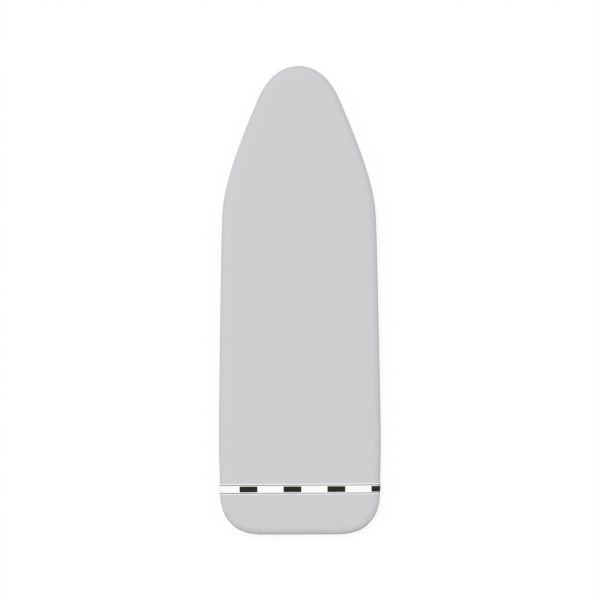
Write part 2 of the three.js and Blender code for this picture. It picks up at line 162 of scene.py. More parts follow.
# Hem casing, its cord, and the gap that the cord comes out of
CASING_WIDTH = 0.009
CASING_HEIGHT = 0.0055
CASING_WALL = 0.00075
CASING_SECTION_POINTS = 16
CASING_SQUARENESS = 3
CASING_PUCKER_SHARE = 0.36
CASING_SIDE_PUCKER_SHARE = 0.45
CASING_ROOM_PUCKER_SHARE = 0.22
CASING_NARROWING_SHARE = 1 / 3
CASING_FOLLOW_SHARE = 0.5
CASING_STEP = 0.0018
CASING_SMOOTH = math.radians(50)
CASING_INSET = SKIRT_DEPTH + LAYER_GAP + CASING_WIDTH / 2
CASING_Z = SKIRT_BOTTOM + CLOTH_THICKNESS - CASING_HEIGHT / 2
CORD_RADIUS = 0.0013
CORD_BEND_RADIUS = 0.0095
CORD_SPACING = 0.009
CORD_XS = (-CORD_SPACING / 2, CORD_SPACING / 2)
CORD_SIDES = 20
CORD_BRAID_STEP = 0.0004
CORD_HIDDEN_STEP = 0.003
CORD_BRAID_PITCH = 0.0021
CORD_BRAID_STRANDS = 4
CORD_BRAID_SHARE = 0.1
CORD_END_BORE = 0.006
CORD_END_SIDES = 32
CORD_END_SMOOTH = math.radians(50)
CORD_END_SHARES = [
    (0.0, 1.0), (0.45, 0.995), (0.68, 0.975), (0.84, 0.93), (0.93, 0.87), (0.98, 0.80), (1.0, 0.70),
    (1.0, 0.64), (0.90, 0.615), (0.90, 0.585), (1.0, 0.56), (1.0, 0.48), (0.90, 0.455), (0.90, 0.425),
    (1.0, 0.40), (1.0, 0.28), (0.97, 0.16), (0.90, 0.06), (0.82, 0.01), (0.76, 0.0), (0.70, 0.01),
]
HEM_GAP_HALF = CORD_SPACING / 2 + CORD_BEND_RADIUS
HEM_Y = TAIL_Y + CASING_INSET

# Ribbon across the tail end
ribbon_low, ribbon_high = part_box("ribbon_band")
RIBBON_Y = (ribbon_low.y + ribbon_high.y) / 2
RIBBON_WIDTH = ribbon_high.y - ribbon_low.y
RIBBON_THICKNESS = 0.0006
RIBBON_LIFT = LAYER_GAP + RIBBON_THICKNESS
RIBBON_TUCK = 0.025
RIBBON_SLOPE_SHARE = 0.0008
RIBBON_STEP_ALONG = 0.0014
RIBBON_STEP_ACROSS = 0.001
RIBBON_PUCKER = 0.00013
RIBBON_PUCKER_REACH = 0.004
RIBBON_LINE_FROM_MIDDLE = 0.0105
RIBBON_LINE_WIDTH = 0.0017
RIBBON_PRINT_EDGE = 0.0003
BLOCK_FIRST_X = -0.137
BLOCK_PITCH = 0.1168
BLOCK_LENGTH = 0.0475
BLOCK_WIDTH = 0.0155

# Thread and stitches
THREAD_RADIUS = 0.00019
THREAD_SIDES = 5
STITCH_LENGTH = 0.0024
STITCH_PITCH = 0.0031
STITCH_RING_SHARES = [
    (-0.5, -0.9, 0.5), (-0.36, 0.35, 1), (0, 0.55, 1), (0.36, 0.35, 1), (0.5, -0.9, 0.5),
]
RIBBON_STITCH_FROM_EDGE = 0.0014
HEM_STITCH_FROM_HEM = 0.0026
PATCH_STITCH_FROM_EDGE = 0.0016
BOX_STITCH_FROM_EDGE = 0.0032

# Straps underneath
STRAP_COUNT = 3
STRAP_THICKNESS = 0.0012
STRAP_SEWN_LIFT = 0.00015
STRAP_RISE_LENGTH = 0.008
STRAP_RISE_STEPS = 9
STRAP_RIB_PITCH = 0.002
STRAP_RIB_SHARE = 0.1
STRAP_RIB_POINTS = 4
STRAP_EDGE_SHARE = 0.12
STRAP_STEP = 0.005
STRAP_BUTT_GAP = 0.00004
STRAP_SMOOTH = math.radians(60)
HOOK_PITCH = 0.0015
HOOK_BASE_SHARE = 0.4
HOOK_BASE_CORNER = 0.001
HOOK_BASE_BEVEL = 0.00015
HOOK_STEM_RADIUS = 0.00018
HOOK_HEAD_RADIUS = 0.00036
HOOK_SIDES = 6
HOOK_SMOOTH = math.radians(40)
HOOK_STEM_SHARES = [(1.4, 0.0), (1.0, 0.3), (1.0, 0.6)]
HOOK_HEAD_SHARES = [(1.0, 0.72), (0.8, 0.93), (0.0, 1.0)]
LOOP_STEP = 0.0006
LOOP_FUZZ = 0.00025
LOOP_EDGE_SHARE = 0.3

# Cord lock
lock_low, lock_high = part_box("cord_lock_body")
button_low, button_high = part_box("cord_lock_button")
LOCK_MIDDLE_Y = (lock_low.y + lock_high.y) / 2
LOCK_MIDDLE_Z = (lock_low.z + lock_high.z) / 2
LOCK_CORNER = 0.005
LOCK_BEVEL = 0.0011
LOCK_WALL = 0.0013
LOCK_HOLE_CLEARANCE = 0.0006
LOCK_HOLE_LIP = 0.0007
LOCK_HOLE_SIDES = 28
LOCK_HOLE_LIP_POINTS = 5
LOCK_RIB_RADIUS = 0.0006
LOCK_RIB_COUNT = 4
LOCK_RIB_PITCH = 0.0022
LOCK_RIB_SIDES = 14
BUTTON_CORNER = 0.0028
BUTTON_BEVEL = 0.0006
BUTTON_RIB_PITCH = 0.0011
BUTTON_TRAVEL = next(
    joint["range_m"][1] for joint in frame["joints"] if joint["name"] == "lock_button_press"
)
CUT_CORNER = 0.0002
CUT_BEVEL = 0.0001
CUT_OVERRUN = 0.003
CUT_SMOOTH = math.radians(32)
RUNNING_CLEARANCE = 0.0003
SPRING_TURNS = 5.5
SPRING_DEAD_TURNS = 0.75
SPRING_RADIUS = 0.0018
SPRING_WIRE_RADIUS = 0.00025
SPRING_TURN_STEPS = 28
SPRING_SIDES = 8

# Threads of the woven finishes, how deep each finish's surface is, and how its fibres are drawn out
FACE_THREAD = 0.00055
FACE_DEPTH = 0.00009
RIBBON_WEFT = 0.0007
RIBBON_WARP = 0.00042
RIBBON_DEPTH = 0.00012
CASING_THREAD = 0.0009
CASING_DEPTH = 0.0001
BRAID_THREAD = 0.0006
BRAID_DEPTH = 0.00006
SEWING_PLY = 0.0004
SEWING_DEPTH = 0.00003
ELASTIC_WEFT = 0.0012
ELASTIC_DEPTH = 0.0001
FOAM_DEPTH = 0.0005
FELT_DEPTH = 0.0004
LOOP_DEPTH = 0.0005
FIBRE_SQUEEZE_SHARES = (1.0, 0.22, 1.0)
MOULD_DEPTH = 0.00003


def smoothstep(values):
    held = np.clip(values, 0, 1)
    return held * held * (3 - 2 * held)


def quarter_turn(count):
    return np.linspace(0, math.pi / 2, count)


def full_turn(count, start=0.0):
    """Angles of points spread round a full turn."""
    return math.tau * (np.arange(count) + start) / count


def past_band(values, low, high):
    """How far values lie outside a band from low to high."""
    return np.abs(values - (low + high) / 2) - (high - low) / 2


# The outline, as fine arrays over its whole length, from the nose tip round by the right side
def half_outline():
    places, tangents = [], []
    t = np.linspace(0, 1, BEZIER_STEPS)[:, None]
    for stretch in OUTLINE_SHARES:
        a, b, c, d = np.array(stretch, float) * (HALF_WIDTH, -LENGTH) + (0, NOSE_Y)
        places.append(a * (1 - t) ** 3 + 3 * b * t * (1 - t) ** 2 + 3 * c * t * t * (1 - t) + d * t ** 3)
        tangents.append((b - a) * (1 - t) ** 2 + 2 * (c - b) * t * (1 - t) + (d - c) * t * t)
    place, tangent = np.concatenate(places), np.concatenate(tangents)
    tangent /= np.linalg.norm(tangent, axis=1)[:, None]
    run = run_of(place)
    along = np.linspace(0, run[-1], round(run[-1] / FINE_STEP) + 1)
    turn = np.unwrap(np.arctan2(tangent[:, 1], tangent[:, 0]))
    return along, read_run(along, run, place), np.interp(along, run, turn)


def run_of(points):
    """How far along a path each of its points is."""
    return np.r_[0, np.cumsum(np.linalg.norm(np.diff(points, axis=0), axis=1))]


def read_run(along, run, points):
    """Points of a path at places along it."""
    return np.stack([np.interp(along, run, part) for part in points.T], 1)


def averaged(values, window):
    """A running mean over a window in metres, mirrored past both ends."""
    reach = int(window / FINE_STEP)
    padded = np.pad(values, reach, mode="reflect")
    return np.convolve(padded, np.ones(2 * reach + 1) / (2 * reach + 1), mode="valid")


half_along, half_place, half_turn = half_outline()
HALF_LOOP = half_along[-1]
LOOP = 2 * HALF_LOOP
half_bend = averaged(np.abs(np.gradient(half_turn, half_along)), BEND_WINDOW)
half_roundness = smoothstep(half_bend / FULL_BEND)


def whole_loop(values, mirror=1):
    return np.r_[values, mirror * values[-2:0:-1]]


loop_along = np.r_[half_along, LOOP - half_along[-2:0:-1]]
loop_x = whole_loop(half_place[:, 0], -1)
loop_y = whole_loop(half_place[:, 1])
loop_in_x = whole_loop(np.sin(half_turn), -1)
loop_in_y = whole_loop(-np.cos(half_turn))
loop_bend = whole_loop(half_bend)
loop_roundness = whole_loop(half_roundness)


def read(values, along):
    return np.interp(along, loop_along, values, period=LOOP)


def inset_plan(along, inset):
    """Plan places a distance inside the outline."""
    x = read(loop_x, along) + read(loop_in_x, along) * inset
    y = read(loop_y, along) + read(loop_in_y, along) * inset
    return x, y


def stack(*parts):
    return np.stack(np.broadcast_arrays(*parts), -1)


def spread_stations(round_step, side_step):
    """Places along the loop, closer together where it is round, alike on both sides."""
    density = half_roundness / round_step + (1 - half_roundness) / side_step
    count = np.r_[0, np.cumsum((density[1:] + density[:-1]) / 2 * np.diff(half_along))]
    right = np.interp(np.linspace(0, count[-1], round(count[-1]) + 1), count, half_along)
    return np.r_[right, LOOP - right[-2:0:-1]]


# The gathers run round the loop as one phase, which turns faster where the hem is drawn in
def gather_phase():
    random = np.random.default_rng(GATHER_SEED)
    wander = np.zeros_like(loop_along)
    for waves in GATHER_WANDER_WAVES:
        wander += np.sin(math.tau * waves * loop_along / LOOP + random.uniform(0, math.tau))
    wander *= GATHER_WANDER_SHARE / np.abs(wander).max()
    pitch = loop_roundness * GATHER_PITCH_ROUND + (1 - loop_roundness) * GATHER_PITCH_SIDE
    rate = (1 - loop_bend * SKIRT_DEPTH).clip(GATHER_LEAST_SHARE) / pitch * (1 + wander)
    turns = np.r_[0, np.cumsum(rate[:-1] * np.diff(loop_along))]
    whole = turns[-1] + rate[-1] * (LOOP - loop_along[-1])
    return math.tau * turns * (2 * round(whole / 2) / whole)


loop_phase = gather_phase()


def half_phase_at(along):
    """Half the gathers' phase, read by its sine and cosine so that the loop closes."""
    half = loop_phase / 2
    return np.arctan2(read(np.sin(half), along), read(np.cos(half), along))


def calm_at(along):
    """One where the skirt may gather, and zero at the ribbon, the straps and the gap of the hem."""
    x, y = read(loop_x, along), read(loop_y, along)
    side = smoothstep((np.abs(x) - HALF_WIDTH / 2) / (HALF_WIDTH / 4))
    tail = smoothstep((HEM_Y - y) / CASING_INSET)
    calm = 1 - tail * (1 - smoothstep((np.abs(x) - HEM_GAP_HALF) / GAP_CALM))
    from_ribbon = past_band(y, ribbon_low.y, ribbon_high.y)
    calm *= smoothstep((from_ribbon - RIBBON_CALM_MARGIN) / RIBBON_CALM)
    for number in range(1, STRAP_COUNT + 1):
        low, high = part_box(f"strap_{number}_web")
        calm *= 1 - side * (1 - smoothstep(past_band(y, low.y, high.y) / STRAP_CALM))
    return calm


loop_gather = (loop_roundness + (1 - loop_roundness) * GATHER_ON_SIDES_SHARE) * calm_at(loop_along)


# The edge section, from the start of the top round down, under and in to the hem
def edge_section():
    quarter = quarter_turn(QUARTER_STEPS)
    shrinking, growing = 1 - np.sin(quarter), 1 - np.cos(quarter)
    inset = np.r_[TOP_ROUND_PLAN * shrinking, TURN_RADIUS * growing, SKIRT_DEPTH]
    height = np.r_[
        COVER_TOP - TOP_ROUND_DROP * growing, SKIRT_BOTTOM + TURN_RADIUS * shrinking, SKIRT_BOTTOM]
    step_in, step_up = np.gradient(inset), np.gradient(height)
    size = np.hypot(step_in, step_up)
    out_in, out_up = step_up / size, -step_in / size
    out_in[0], out_up[0] = 0, 1
    out_in[-1], out_up[-1] = 0, -1
    return run_of(np.stack([inset, height], 1)), inset, height, out_in, out_up


section_down, section_inset, section_height, section_out_in, section_out_up = edge_section()
EDGE_DOWN = section_down[-1]
SKIRT_START = EDGE_DOWN - (SKIRT_DEPTH - TURN_RADIUS)
TURN_START = SKIRT_START - math.pi / 2 * TURN_RADIUS
RIBBON_REACH = HALF_WIDTH - TOP_ROUND_PLAN + SKIRT_START + RIBBON_TUCK - TURN_RADIUS


def gather_height(along, down):
    """How far the gathers, round ridges between sharp valleys, lift the cloth off its plain section."""
    fall = np.clip((down - GATHER_START_DOWN) / (EDGE_DOWN - GATHER_START_DOWN), 0, 1)
    fade = smoothstep((fall - GATHER_RISE_SHARE) / (1 - GATHER_RISE_SHARE))
    size = smoothstep(fall / GATHER_RISE_SHARE) * (1 - (1 - GATHER_HEM_SHARE) * fade)
    half = half_phase_at(along)
    fine = 2 * np.abs(np.sin(half)) - 4 / math.pi
    coarse = np.sin(half + GATHER_COARSE_LEAD)
    spread = smoothstep((fall - GATHER_FINE_START_SHARE) / GATHER_FINE_RISE_SHARE)
    fine_share = GATHER_FINE_TOP_SHARE + (GATHER_FINE_HEM_SHARE - GATHER_FINE_TOP_SHARE) * spread
    shape = fine * fine_share + coarse * GATHER_COARSE_SHARE
    return GATHER_HEIGHT * read(loop_gather, along) * size * shape


def on_cloth(along, down, lift=0.0):
    """Points of the edge's outer face, some metres of cloth down from the top and lifted outward."""
    section = (section_inset, section_height, section_out_in, section_out_up)
    inset, height, out_in, out_up = (np.interp(down, section_down, part) for part in section)
    off = gather_height(along, down) + lift
    return stack(*inset_plan(along, inset + out_in * off), height + out_up * off)


# The face's slight softness, a few long waves that die out towards the edge
soft_random = np.random.default_rng(SOFT_SEED)
soft_turns = soft_random.uniform(0, math.tau, SOFT_WAVES)
soft_lengths = soft_random.uniform(SOFT_WAVE_SHORTEST, SOFT_WAVE_LONGEST, SOFT_WAVES)
soft_starts = soft_random.uniform(0, math.tau, SOFT_WAVES)
rim_points = on_cloth(loop_along[::4], 0.0)[:, :2]


def softness(x, y):
    flat_x, flat_y = np.ravel(x), np.ravel(y)
    height = np.zeros_like(flat_x)
    for turn, length, start in zip(soft_turns, soft_lengths, soft_starts):
        run = flat_x * math.cos(turn) + flat_y * math.sin(turn)
        height += SOFT_HEIGHT * (1 + np.sin(math.tau * run / length + start))
    nearest = np.full_like(flat_x, FLOOR_SIDE)
    for chunk in np.array_split(rim_points, SOFT_RIM_CHUNKS):
        apart = np.hypot(flat_x[:, None] - chunk[:, 0], flat_y[:, None] - chunk[:, 1])
        nearest = np.minimum(nearest, apart.min(1))
    return (height * smoothstep(nearest / SOFT_EDGE)).reshape(np.shape(x))


# Meshes
def grid_faces(rows, columns, wrap=False):
    across = columns if wrap else columns - 1
    row, column = np.meshgrid(np.arange(rows - 1), np.arange(across), indexing="ij")
    a = row * columns + column
    b = row * columns + (column + 1) % columns
    return np.stack([a, b, b + columns, a + columns], -1).reshape(-1, 4).tolist()


def tube_faces(rows, size):
    """Faces of a stack of rings, closed at both ends."""
    last = (rows - 1) * size
    return grid_faces(rows, size, wrap=True) + [list(range(size))[::-1], list(range(last, last + size))]


def tube_points(path, sides, ups, radius, count):
    """Rings of points round a path."""
    turn = full_turn(count)[:, None]
    return path[:, None] + (sides[:, None] * np.cos(turn) + ups[:, None] * np.sin(turn)) * radius


def lathed(profile, sides):
    """Points and faces of a turned shape, from pairs of radius and height."""
    turn = full_turn(sides)
    radius, height = np.array(profile).T[..., None]
    points = stack(radius * np.cos(turn), radius * np.sin(turn), height)
    return points, grid_faces(len(profile), sides, wrap=True)


def lathed_along_y(profile, sides, x, z):
    """A turned shape laid down, its axis along Y at a place in X and Z."""
    points, faces = lathed(profile, sides)
    return stack(points[..., 0] + x, points[..., 2], points[..., 1] + z), faces


def joined(parts):
    """Several pairs of points and faces as one."""
    points, faces, start = [], [], 0
    for part_points, part_faces in parts:
        part_points = np.reshape(part_points, (-1, 3))
        points.append(part_points)
        faces += [[start + k for k in face] for face in part_faces]
        start += len(part_points)
    return np.concatenate(points), faces


def new_mesh(name, points, faces, weld=False, uv=None):
    """A mesh with its faces turned out, and with points that lie on each other joined if asked."""
    mesh = bpy.data.meshes.new(name)
    mesh.from_pydata(np.reshape(points, (-1, 3)).tolist(), [], faces)
    if uv is not None:
        layer = mesh.uv_layers.new(name="cloth")
        corners = np.zeros(len(mesh.loops), int)
        mesh.loops.foreach_get("vertex_index", corners)
        layer.data.foreach_set("uv", np.reshape(uv, (-1, 2))[corners].astype(np.float32).ravel())
    shape = bmesh.new()
    shape.from_mesh(mesh)
    if weld:
        bmesh.ops.remove_doubles(shape, verts=shape.verts, dist=WELD)
    bmesh.ops.recalc_face_normals(shape, faces=shape.faces)
    shape.to_mesh(mesh)
    shape.free()
    return mesh


def new_object(name, data):
    made = bpy.data.objects.new(name, data)
    bpy.context.scene.collection.objects.link(made)
    return made


def new_piece(name, mesh, finish, body, nodes=(), slot=None, smooth_angle=None):
    """Makes a piece that rides on a body, or that stands on its own where the body is None.

    The slot argument is not used.
    """
    mesh.shade_smooth()
    if smooth_angle is not None:
        mesh.set_sharp_from_angle(angle=smooth_angle)
    mesh.materials.clear()
    mesh.materials.append(finishes[finish])
    piece = new_object(name, mesh)
    if body:
        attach(piece, body)
    slot or finish
    if nodes:
        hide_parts(*nodes)
    return piece


def add_piece(name, points, faces, finish, body, nodes=(), weld=False, uv=None, **settings):
    return new_piece(name, new_mesh(name, points, faces, weld, uv), finish, body, nodes, **settings)


def thicken(piece, thickness):
    """Gives a surface its thickness, inward from its outer face."""
    solid = piece.modifiers.new("thickness", "SOLIDIFY")
    solid.thickness = thickness
    solid.offset = -1
    solid.use_even_offset = True


# Finishes, whose nodes are written as sums and products of values
finishes = {}


class Value:
    """What a node gives out."""

    def __init__(self, socket):
        self.socket = socket
        self.tree = socket.id_data

    def maths(self, operation, *others):
        return value_of(self.tree, "ShaderNodeMath", self, *others, operation=operation)

    def __add__(self, other):
        return self.maths("ADD", other)

    def __sub__(self, other):
        return self.maths("SUBTRACT", other)

    def __rsub__(self, other):
        return value_of(self.tree, "ShaderNodeMath", other, self, operation="SUBTRACT")

    def __mul__(self, other):
        return self.maths("MULTIPLY", other)

    def __abs__(self):
        return self.maths("ABSOLUTE")

    def held(self):
        """Kept from 0 to 1."""
        return value_of(self.tree, "ShaderNodeClamp", self)

    def wave(self, pitch):
        """A wave from -1 to 1 across threads of a pitch in metres."""
        return (self * (math.tau / pitch)).maths("SINE")

    def within(self, half):
        """One inside a half width and zero outside it, with the soft edge of the ribbon's pattern."""
        return ((half - abs(self)) * (1 / RIBBON_PRINT_EDGE) + 0.5).held()

    def between(self, low, high):
        """The colour low where the value is 0, and high where it is 1."""
        node = add_node(self.tree, "ShaderNodeMix", data_type="RGBA")
        used = [socket for socket in node.inputs if socket.enabled]
        for socket, value in zip(used, (self, low, high)):
            give(socket, value)
        return Value(next(socket for socket in node.outputs if socket.enabled))


def give(socket, value):
    """Links a value to a socket, or sets the socket to a number or colour."""
    if isinstance(value, Value):
        socket.id_data.links.new(value.socket, socket)
    else:
        socket.default_value = (*value, 1) if socket.type == "RGBA" else value


def give_all(node, **values):
    for name, value in values.items():
        give(node.inputs[name.replace("_", " ")], value)


def add_node(tree, kind, *values, **named):
    """Adds a node: values for its inputs, in order or by name, and settings by lower-case name."""
    node = tree.nodes.new(kind)
    for name, setting in named.items():
        if name.islower():
            setattr(node, name, setting)
    give_all(node, **{name: value for name, value in named.items() if not name.islower()})
    for socket, value in zip(node.inputs, values):
        give(socket, value)
    return node


def value_of(tree, kind, *values, output=0, **named):
    """Adds a node and gives what comes out of it."""
    return Value(add_node(tree, kind, *values, **named).outputs[output])


def parts_of(vector):
    return [Value(part) for part in add_node(vector.tree, "ShaderNodeSeparateXYZ", vector).outputs]


def new_finish(name, colour, roughness, laid_flat=False, **settings):
    """Starts a finish: its shader, and the places on the object or on its cloth laid flat."""
    finishes[name] = material = bpy.data.materials.new(name)
    material.use_nodes = True
    tree = material.node_tree
    shader = tree.nodes["Principled BSDF"]
    give_all(shader, Base_Color=colour, Roughness=roughness, **settings)
    if laid_flat:
        return shader, value_of(tree, "ShaderNodeUVMap", uv_map="cloth")
    return shader, value_of(tree, "ShaderNodeTexCoord", output="Object")


def grain(place, scale, detail=3, roughness=0.6):
    return value_of(place.tree, "ShaderNodeTexNoise", output="Fac", Vector=place, Scale=scale,
                    Detail=detail, Roughness=roughness)


def bump(height, depth, strength):
    return value_of(height.tree, "ShaderNodeBump", Strength=strength, Distance=depth, Height=height)


def face_finish():
    """Plain weave, its threads over and under each other, with slubs and faint clouds."""
    dark, light = (0.5775, 0.577, 0.592), (0.663, 0.6625, 0.678)
    shader, place = new_finish(
        "face_cotton", dark, 0.72, laid_flat=True, Sheen_Weight=0.04, Specular_IOR_Level=0.22)
    x, y, _ = parts_of(place)
    weave = x.wave(2 * FACE_THREAD) * y.wave(2 * FACE_THREAD) * 0.5 + 0.5
    slub = grain(place, scale=620, detail=2)
    cloud = grain(place, scale=9, detail=2)
    tone = weave * 0.6 + slub * 0.3 + cloud * 0.15
    give_all(shader, Base_Color=tone.between(dark, light), Roughness=slub * 0.16 + 0.66,
             Normal=bump(slub * 0.6 + weave, FACE_DEPTH, strength=0.8))


def ribbon_finish():
    """White ribbon with a grey line inside each border and bare dark blocks along its middle."""
    white, border, line = (0.97, 0.97, 0.965), (0.88, 0.88, 0.88), (0.06, 0.06, 0.065)
    block_dark, block_light = (0.011, 0.009, 0.008), (0.024, 0.021, 0.019)
    shader, place = new_finish(
        "ribbon_weave", white, 0.7, laid_flat=True, Specular_IOR_Level=0.15)
    run, across, _ = parts_of(place)
    core = across.within(RIBBON_LINE_FROM_MIDDLE + RIBBON_LINE_WIDTH / 2)
    lines = (abs(across) - RIBBON_LINE_FROM_MIDDLE).within(RIBBON_LINE_WIDTH / 2)
    cell = (run - BLOCK_FIRST_X).maths("WRAP", BLOCK_PITCH / 2, -BLOCK_PITCH / 2)
    blocks = cell.within(BLOCK_LENGTH / 2) * across.within(BLOCK_WIDTH / 2)
    weft = run.wave(RIBBON_WEFT) * 0.5 + 0.5
    warp = across.wave(RIBBON_WARP) * 0.5 + 0.5
    ground = lines.between(core.between(border, white), line)
    height = blocks * 0.7 + warp * 0.5 + weft * 0.5 + grain(place, scale=1400, detail=2) * 0.4
    give_all(shader, Base_Color=blocks.between(ground, weft.between(block_dark, block_light)),
             Normal=bump(height, RIBBON_DEPTH, strength=0.6))


def woven_finish(name, light, dark, pitch, depth, roughness):
    """A woven or plied yarn surface, its threads read from the object's own place."""
    shader, place = new_finish(name, light, roughness, Sheen_Weight=0.06, Specular_IOR_Level=0.25)
    x, y, z = parts_of(place)
    slant = (x + z).wave(pitch) + y.wave(pitch)
    fibre = grain(place, scale=1100)
    give_all(shader, Base_Color=(slant * 0.22 + fibre).held().between(dark, light),
             Normal=bump(slant * 0.25 + fibre, depth, strength=0.7))


def elastic_finish():
    light, dark = (0.82, 0.82, 0.81), (0.64, 0.64, 0.63)
    shader, place = new_finish(
        "elastic_webbing", light, 0.85, Sheen_Weight=0.08, Specular_IOR_Level=0.25)
    x, y, _ = parts_of(place)
    rubber = y.wave(STRAP_RIB_PITCH)
    knit = x.wave(ELASTIC_WEFT) * rubber
    fibre = grain(place, scale=1300)
    give_all(shader, Base_Color=(rubber * 0.25 + knit * 0.2 + fibre).held().between(dark, light),
             Normal=bump(knit * 0.5 + fibre, ELASTIC_DEPTH, strength=0.8))


def foam_finish():
    """Open cells between walls of uneven height, each cell painted darker towards the middle of its
    hollow as painted shade.
    """
    light, dark = (0.83, 0.80, 0.72), (0.58, 0.55, 0.46)
    shader, place = new_finish("pad_foam", light, 0.95, Specular_IOR_Level=0.12)
    cells = value_of(place.tree, "ShaderNodeTexVoronoi", output="Distance", Vector=place, Scale=750)
    walls_and_hollow_shade = cells * (grain(place, scale=300) * 0.8 + 0.9)
    # Painted shade: the colour follows the walls' height, so the hollow of each cell is painted darker.
    give_all(shader, Base_Color=walls_and_hollow_shade.held().between(dark, light),
             Normal=bump(walls_and_hollow_shade, FOAM_DEPTH, strength=0.9))


def fibre_finish(name, light, dark, fleck, scale, depth):
    """Felt or loop pile: clouded, rough, and with a few odd fibres."""
    shader, place = new_finish(name, light, 0.95, Sheen_Weight=0.1, Specular_IOR_Level=0.12)
    fine = grain(place, scale, detail=6, roughness=0.7)
    cloud = grain(place, scale / 18, detail=4)
    squeezed = value_of(
        place.tree, "ShaderNodeVectorMath", place, FIBRE_SQUEEZE_SHARES, operation="MULTIPLY")
    odd = (grain(squeezed, scale * 2.2, detail=2) * 4 - 2.5).held()
    ground = (cloud * 0.5 + fine * 0.7).held().between(dark, light)
    give_all(shader, Base_Color=odd.between(ground, fleck), Normal=bump(fine, depth, strength=0.9))


def moulded_finish(name, dark, roughness):
    """Plastic with a fine matt grain, a little paler where it is worn."""
    shader, place = new_finish(name, dark, roughness, Specular_IOR_Level=0.45)
    worn = grain(place, scale=120)
    light = [1.35 * part + 0.004 for part in dark]
    give_all(shader, Base_Color=worn.between(dark, light), Roughness=worn * 0.16 + (roughness - 0.08),
             Normal=bump(grain(place, scale=2600, detail=2), MOULD_DEPTH, strength=0.35))


def steel_finish():
    light, dark = (0.62, 0.62, 0.61), (0.50, 0.50, 0.49)
    shader, place = new_finish("spring_steel", light, 0.28, Metallic=1.0)
    drawn = grain(place, scale=900, detail=2)
    give_all(shader, Base_Color=drawn.between(dark, light), Roughness=drawn * 0.2 + 0.2)


face_finish()
ribbon_finish()
elastic_finish()
foam_finish()
steel_finish()
fibre_finish(
    "pad_felt", light=(0.78, 0.76, 0.72), dark=(0.52, 0.50, 0.46), fleck=(0.40, 0.41, 0.44),
    scale=420, depth=FELT_DEPTH)
fibre_finish(
    "loop_tape", light=(0.72, 0.72, 0.71), dark=(0.50, 0.50, 0.49), fleck=(0.60, 0.60, 0.60),
    scale=900, depth=LOOP_DEPTH)
woven_finish(
    "hem_tape", light=(0.54, 0.54, 0.55), dark=(0.36, 0.36, 0.37),
    pitch=CASING_THREAD, depth=CASING_DEPTH, roughness=0.8)
woven_finish(
    "drawstring_cord", light=(0.84, 0.84, 0.82), dark=(0.60, 0.60, 0.58),
    pitch=BRAID_THREAD, depth=BRAID_DEPTH, roughness=0.7)
woven_finish(
    "thread_grey", light=(0.50, 0.50, 0.51), dark=(0.32, 0.32, 0.33),
    pitch=SEWING_PLY, depth=SEWING_DEPTH, roughness=0.6)
woven_finish(
    "thread_white", light=(0.88, 0.88, 0.87), dark=(0.70, 0.70, 0.69),
    pitch=SEWING_PLY, depth=SEWING_DEPTH, roughness=0.6)
moulded_finish("lock_plastic", (0.024, 0.024, 0.026), roughness=0.46)
moulded_finish("button_plastic", (0.042, 0.042, 0.045), roughness=0.38)
moulded_finish("hook_tape", (0.78, 0.78, 0.77), roughness=0.42)


# Face cloth: one sheet over the pads, round the edge and gathered in to the hem
def spine_rows(rim, rows):
    """Plan points from a rim in to the middle line, row by row."""
    middle_y = np.clip(rim[:, 1], TAIL_Y + SPINE_FROM_TAIL, NOSE_Y - SPINE_FROM_NOSE)
    middle = np.stack([np.zeros(len(rim)), middle_y], 1)
    shares = np.linspace(0, 1, rows + 1)[1:, None, None]
    return rim + (middle - rim) * shares


def face_cloth():
    along = spread_stations(ROUND_STEP, SIDE_STEP)
    downs = np.r_[
        np.linspace(EDGE_DOWN, SKIRT_START, SKIRT_ROWS)[:-1],
        np.linspace(SKIRT_START, TURN_START, TURN_ROWS)[:-1],
        np.linspace(TURN_START, 0, EDGE_ROWS),
    ][:, None]
    edge = on_cloth(along[None, :], downs)
    rim = edge[-1][:, :2]
    inward = np.stack([read(loop_in_x, along), read(loop_in_y, along)], 1)
    plan = spine_rows(rim, TOP_ROWS)
    top = stack(plan[..., 0], plan[..., 1], COVER_TOP + softness(plan[..., 0], plan[..., 1]))
    points = np.concatenate([edge, top])
    uv = np.concatenate([rim - inward * downs[..., None], plan])
    piece = add_piece("face_cloth_sewn", points, grid_faces(len(points), len(along), wrap=True),
                      "face_cotton", "cover", ["face_cloth"], weld=True, uv=uv)
    thicken(piece, CLOTH_THICKNESS)
    return piece


# Pads: two soft-edged sheets that lean in under the top round
def pad_sheet(name, node, finish):
    low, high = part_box(node)
    along = spread_stations(PAD_ROUND_STEP, PAD_SIDE_STEP)
    turn = np.linspace(-math.pi / 2, math.pi / 2, PAD_EDGE_POINTS)
    straight = (high.z - low.z) / 2 - PAD_EDGE_ROUND
    heights = (low.z + high.z) / 2 + np.sign(turn) * straight + PAD_EDGE_ROUND * np.sin(turn)
    top_round = section_height >= COVER_TOP - TOP_ROUND_DROP
    cloth_insets = np.interp(-heights, -section_height[top_round], section_inset[top_round])
    insets = cloth_insets + PAD_CLEARANCE + PAD_EDGE_ROUND * (1 - np.cos(turn))
    rings = stack(*inset_plan(along[None, :], insets[:, None]), heights[:, None])
    lids = []
    for ring in (rings[0], rings[-1]):
        plan = spine_rows(ring[:, :2], PAD_LID_ROWS)
        lids.append(stack(plan[..., 0], plan[..., 1], ring[0, 2]))
    points = np.concatenate([lids[0][::-1], rings, lids[1]])
    piece = add_piece(name, points, grid_faces(len(points), len(along), wrap=True),
                      finish, "cover", [node], weld=True)


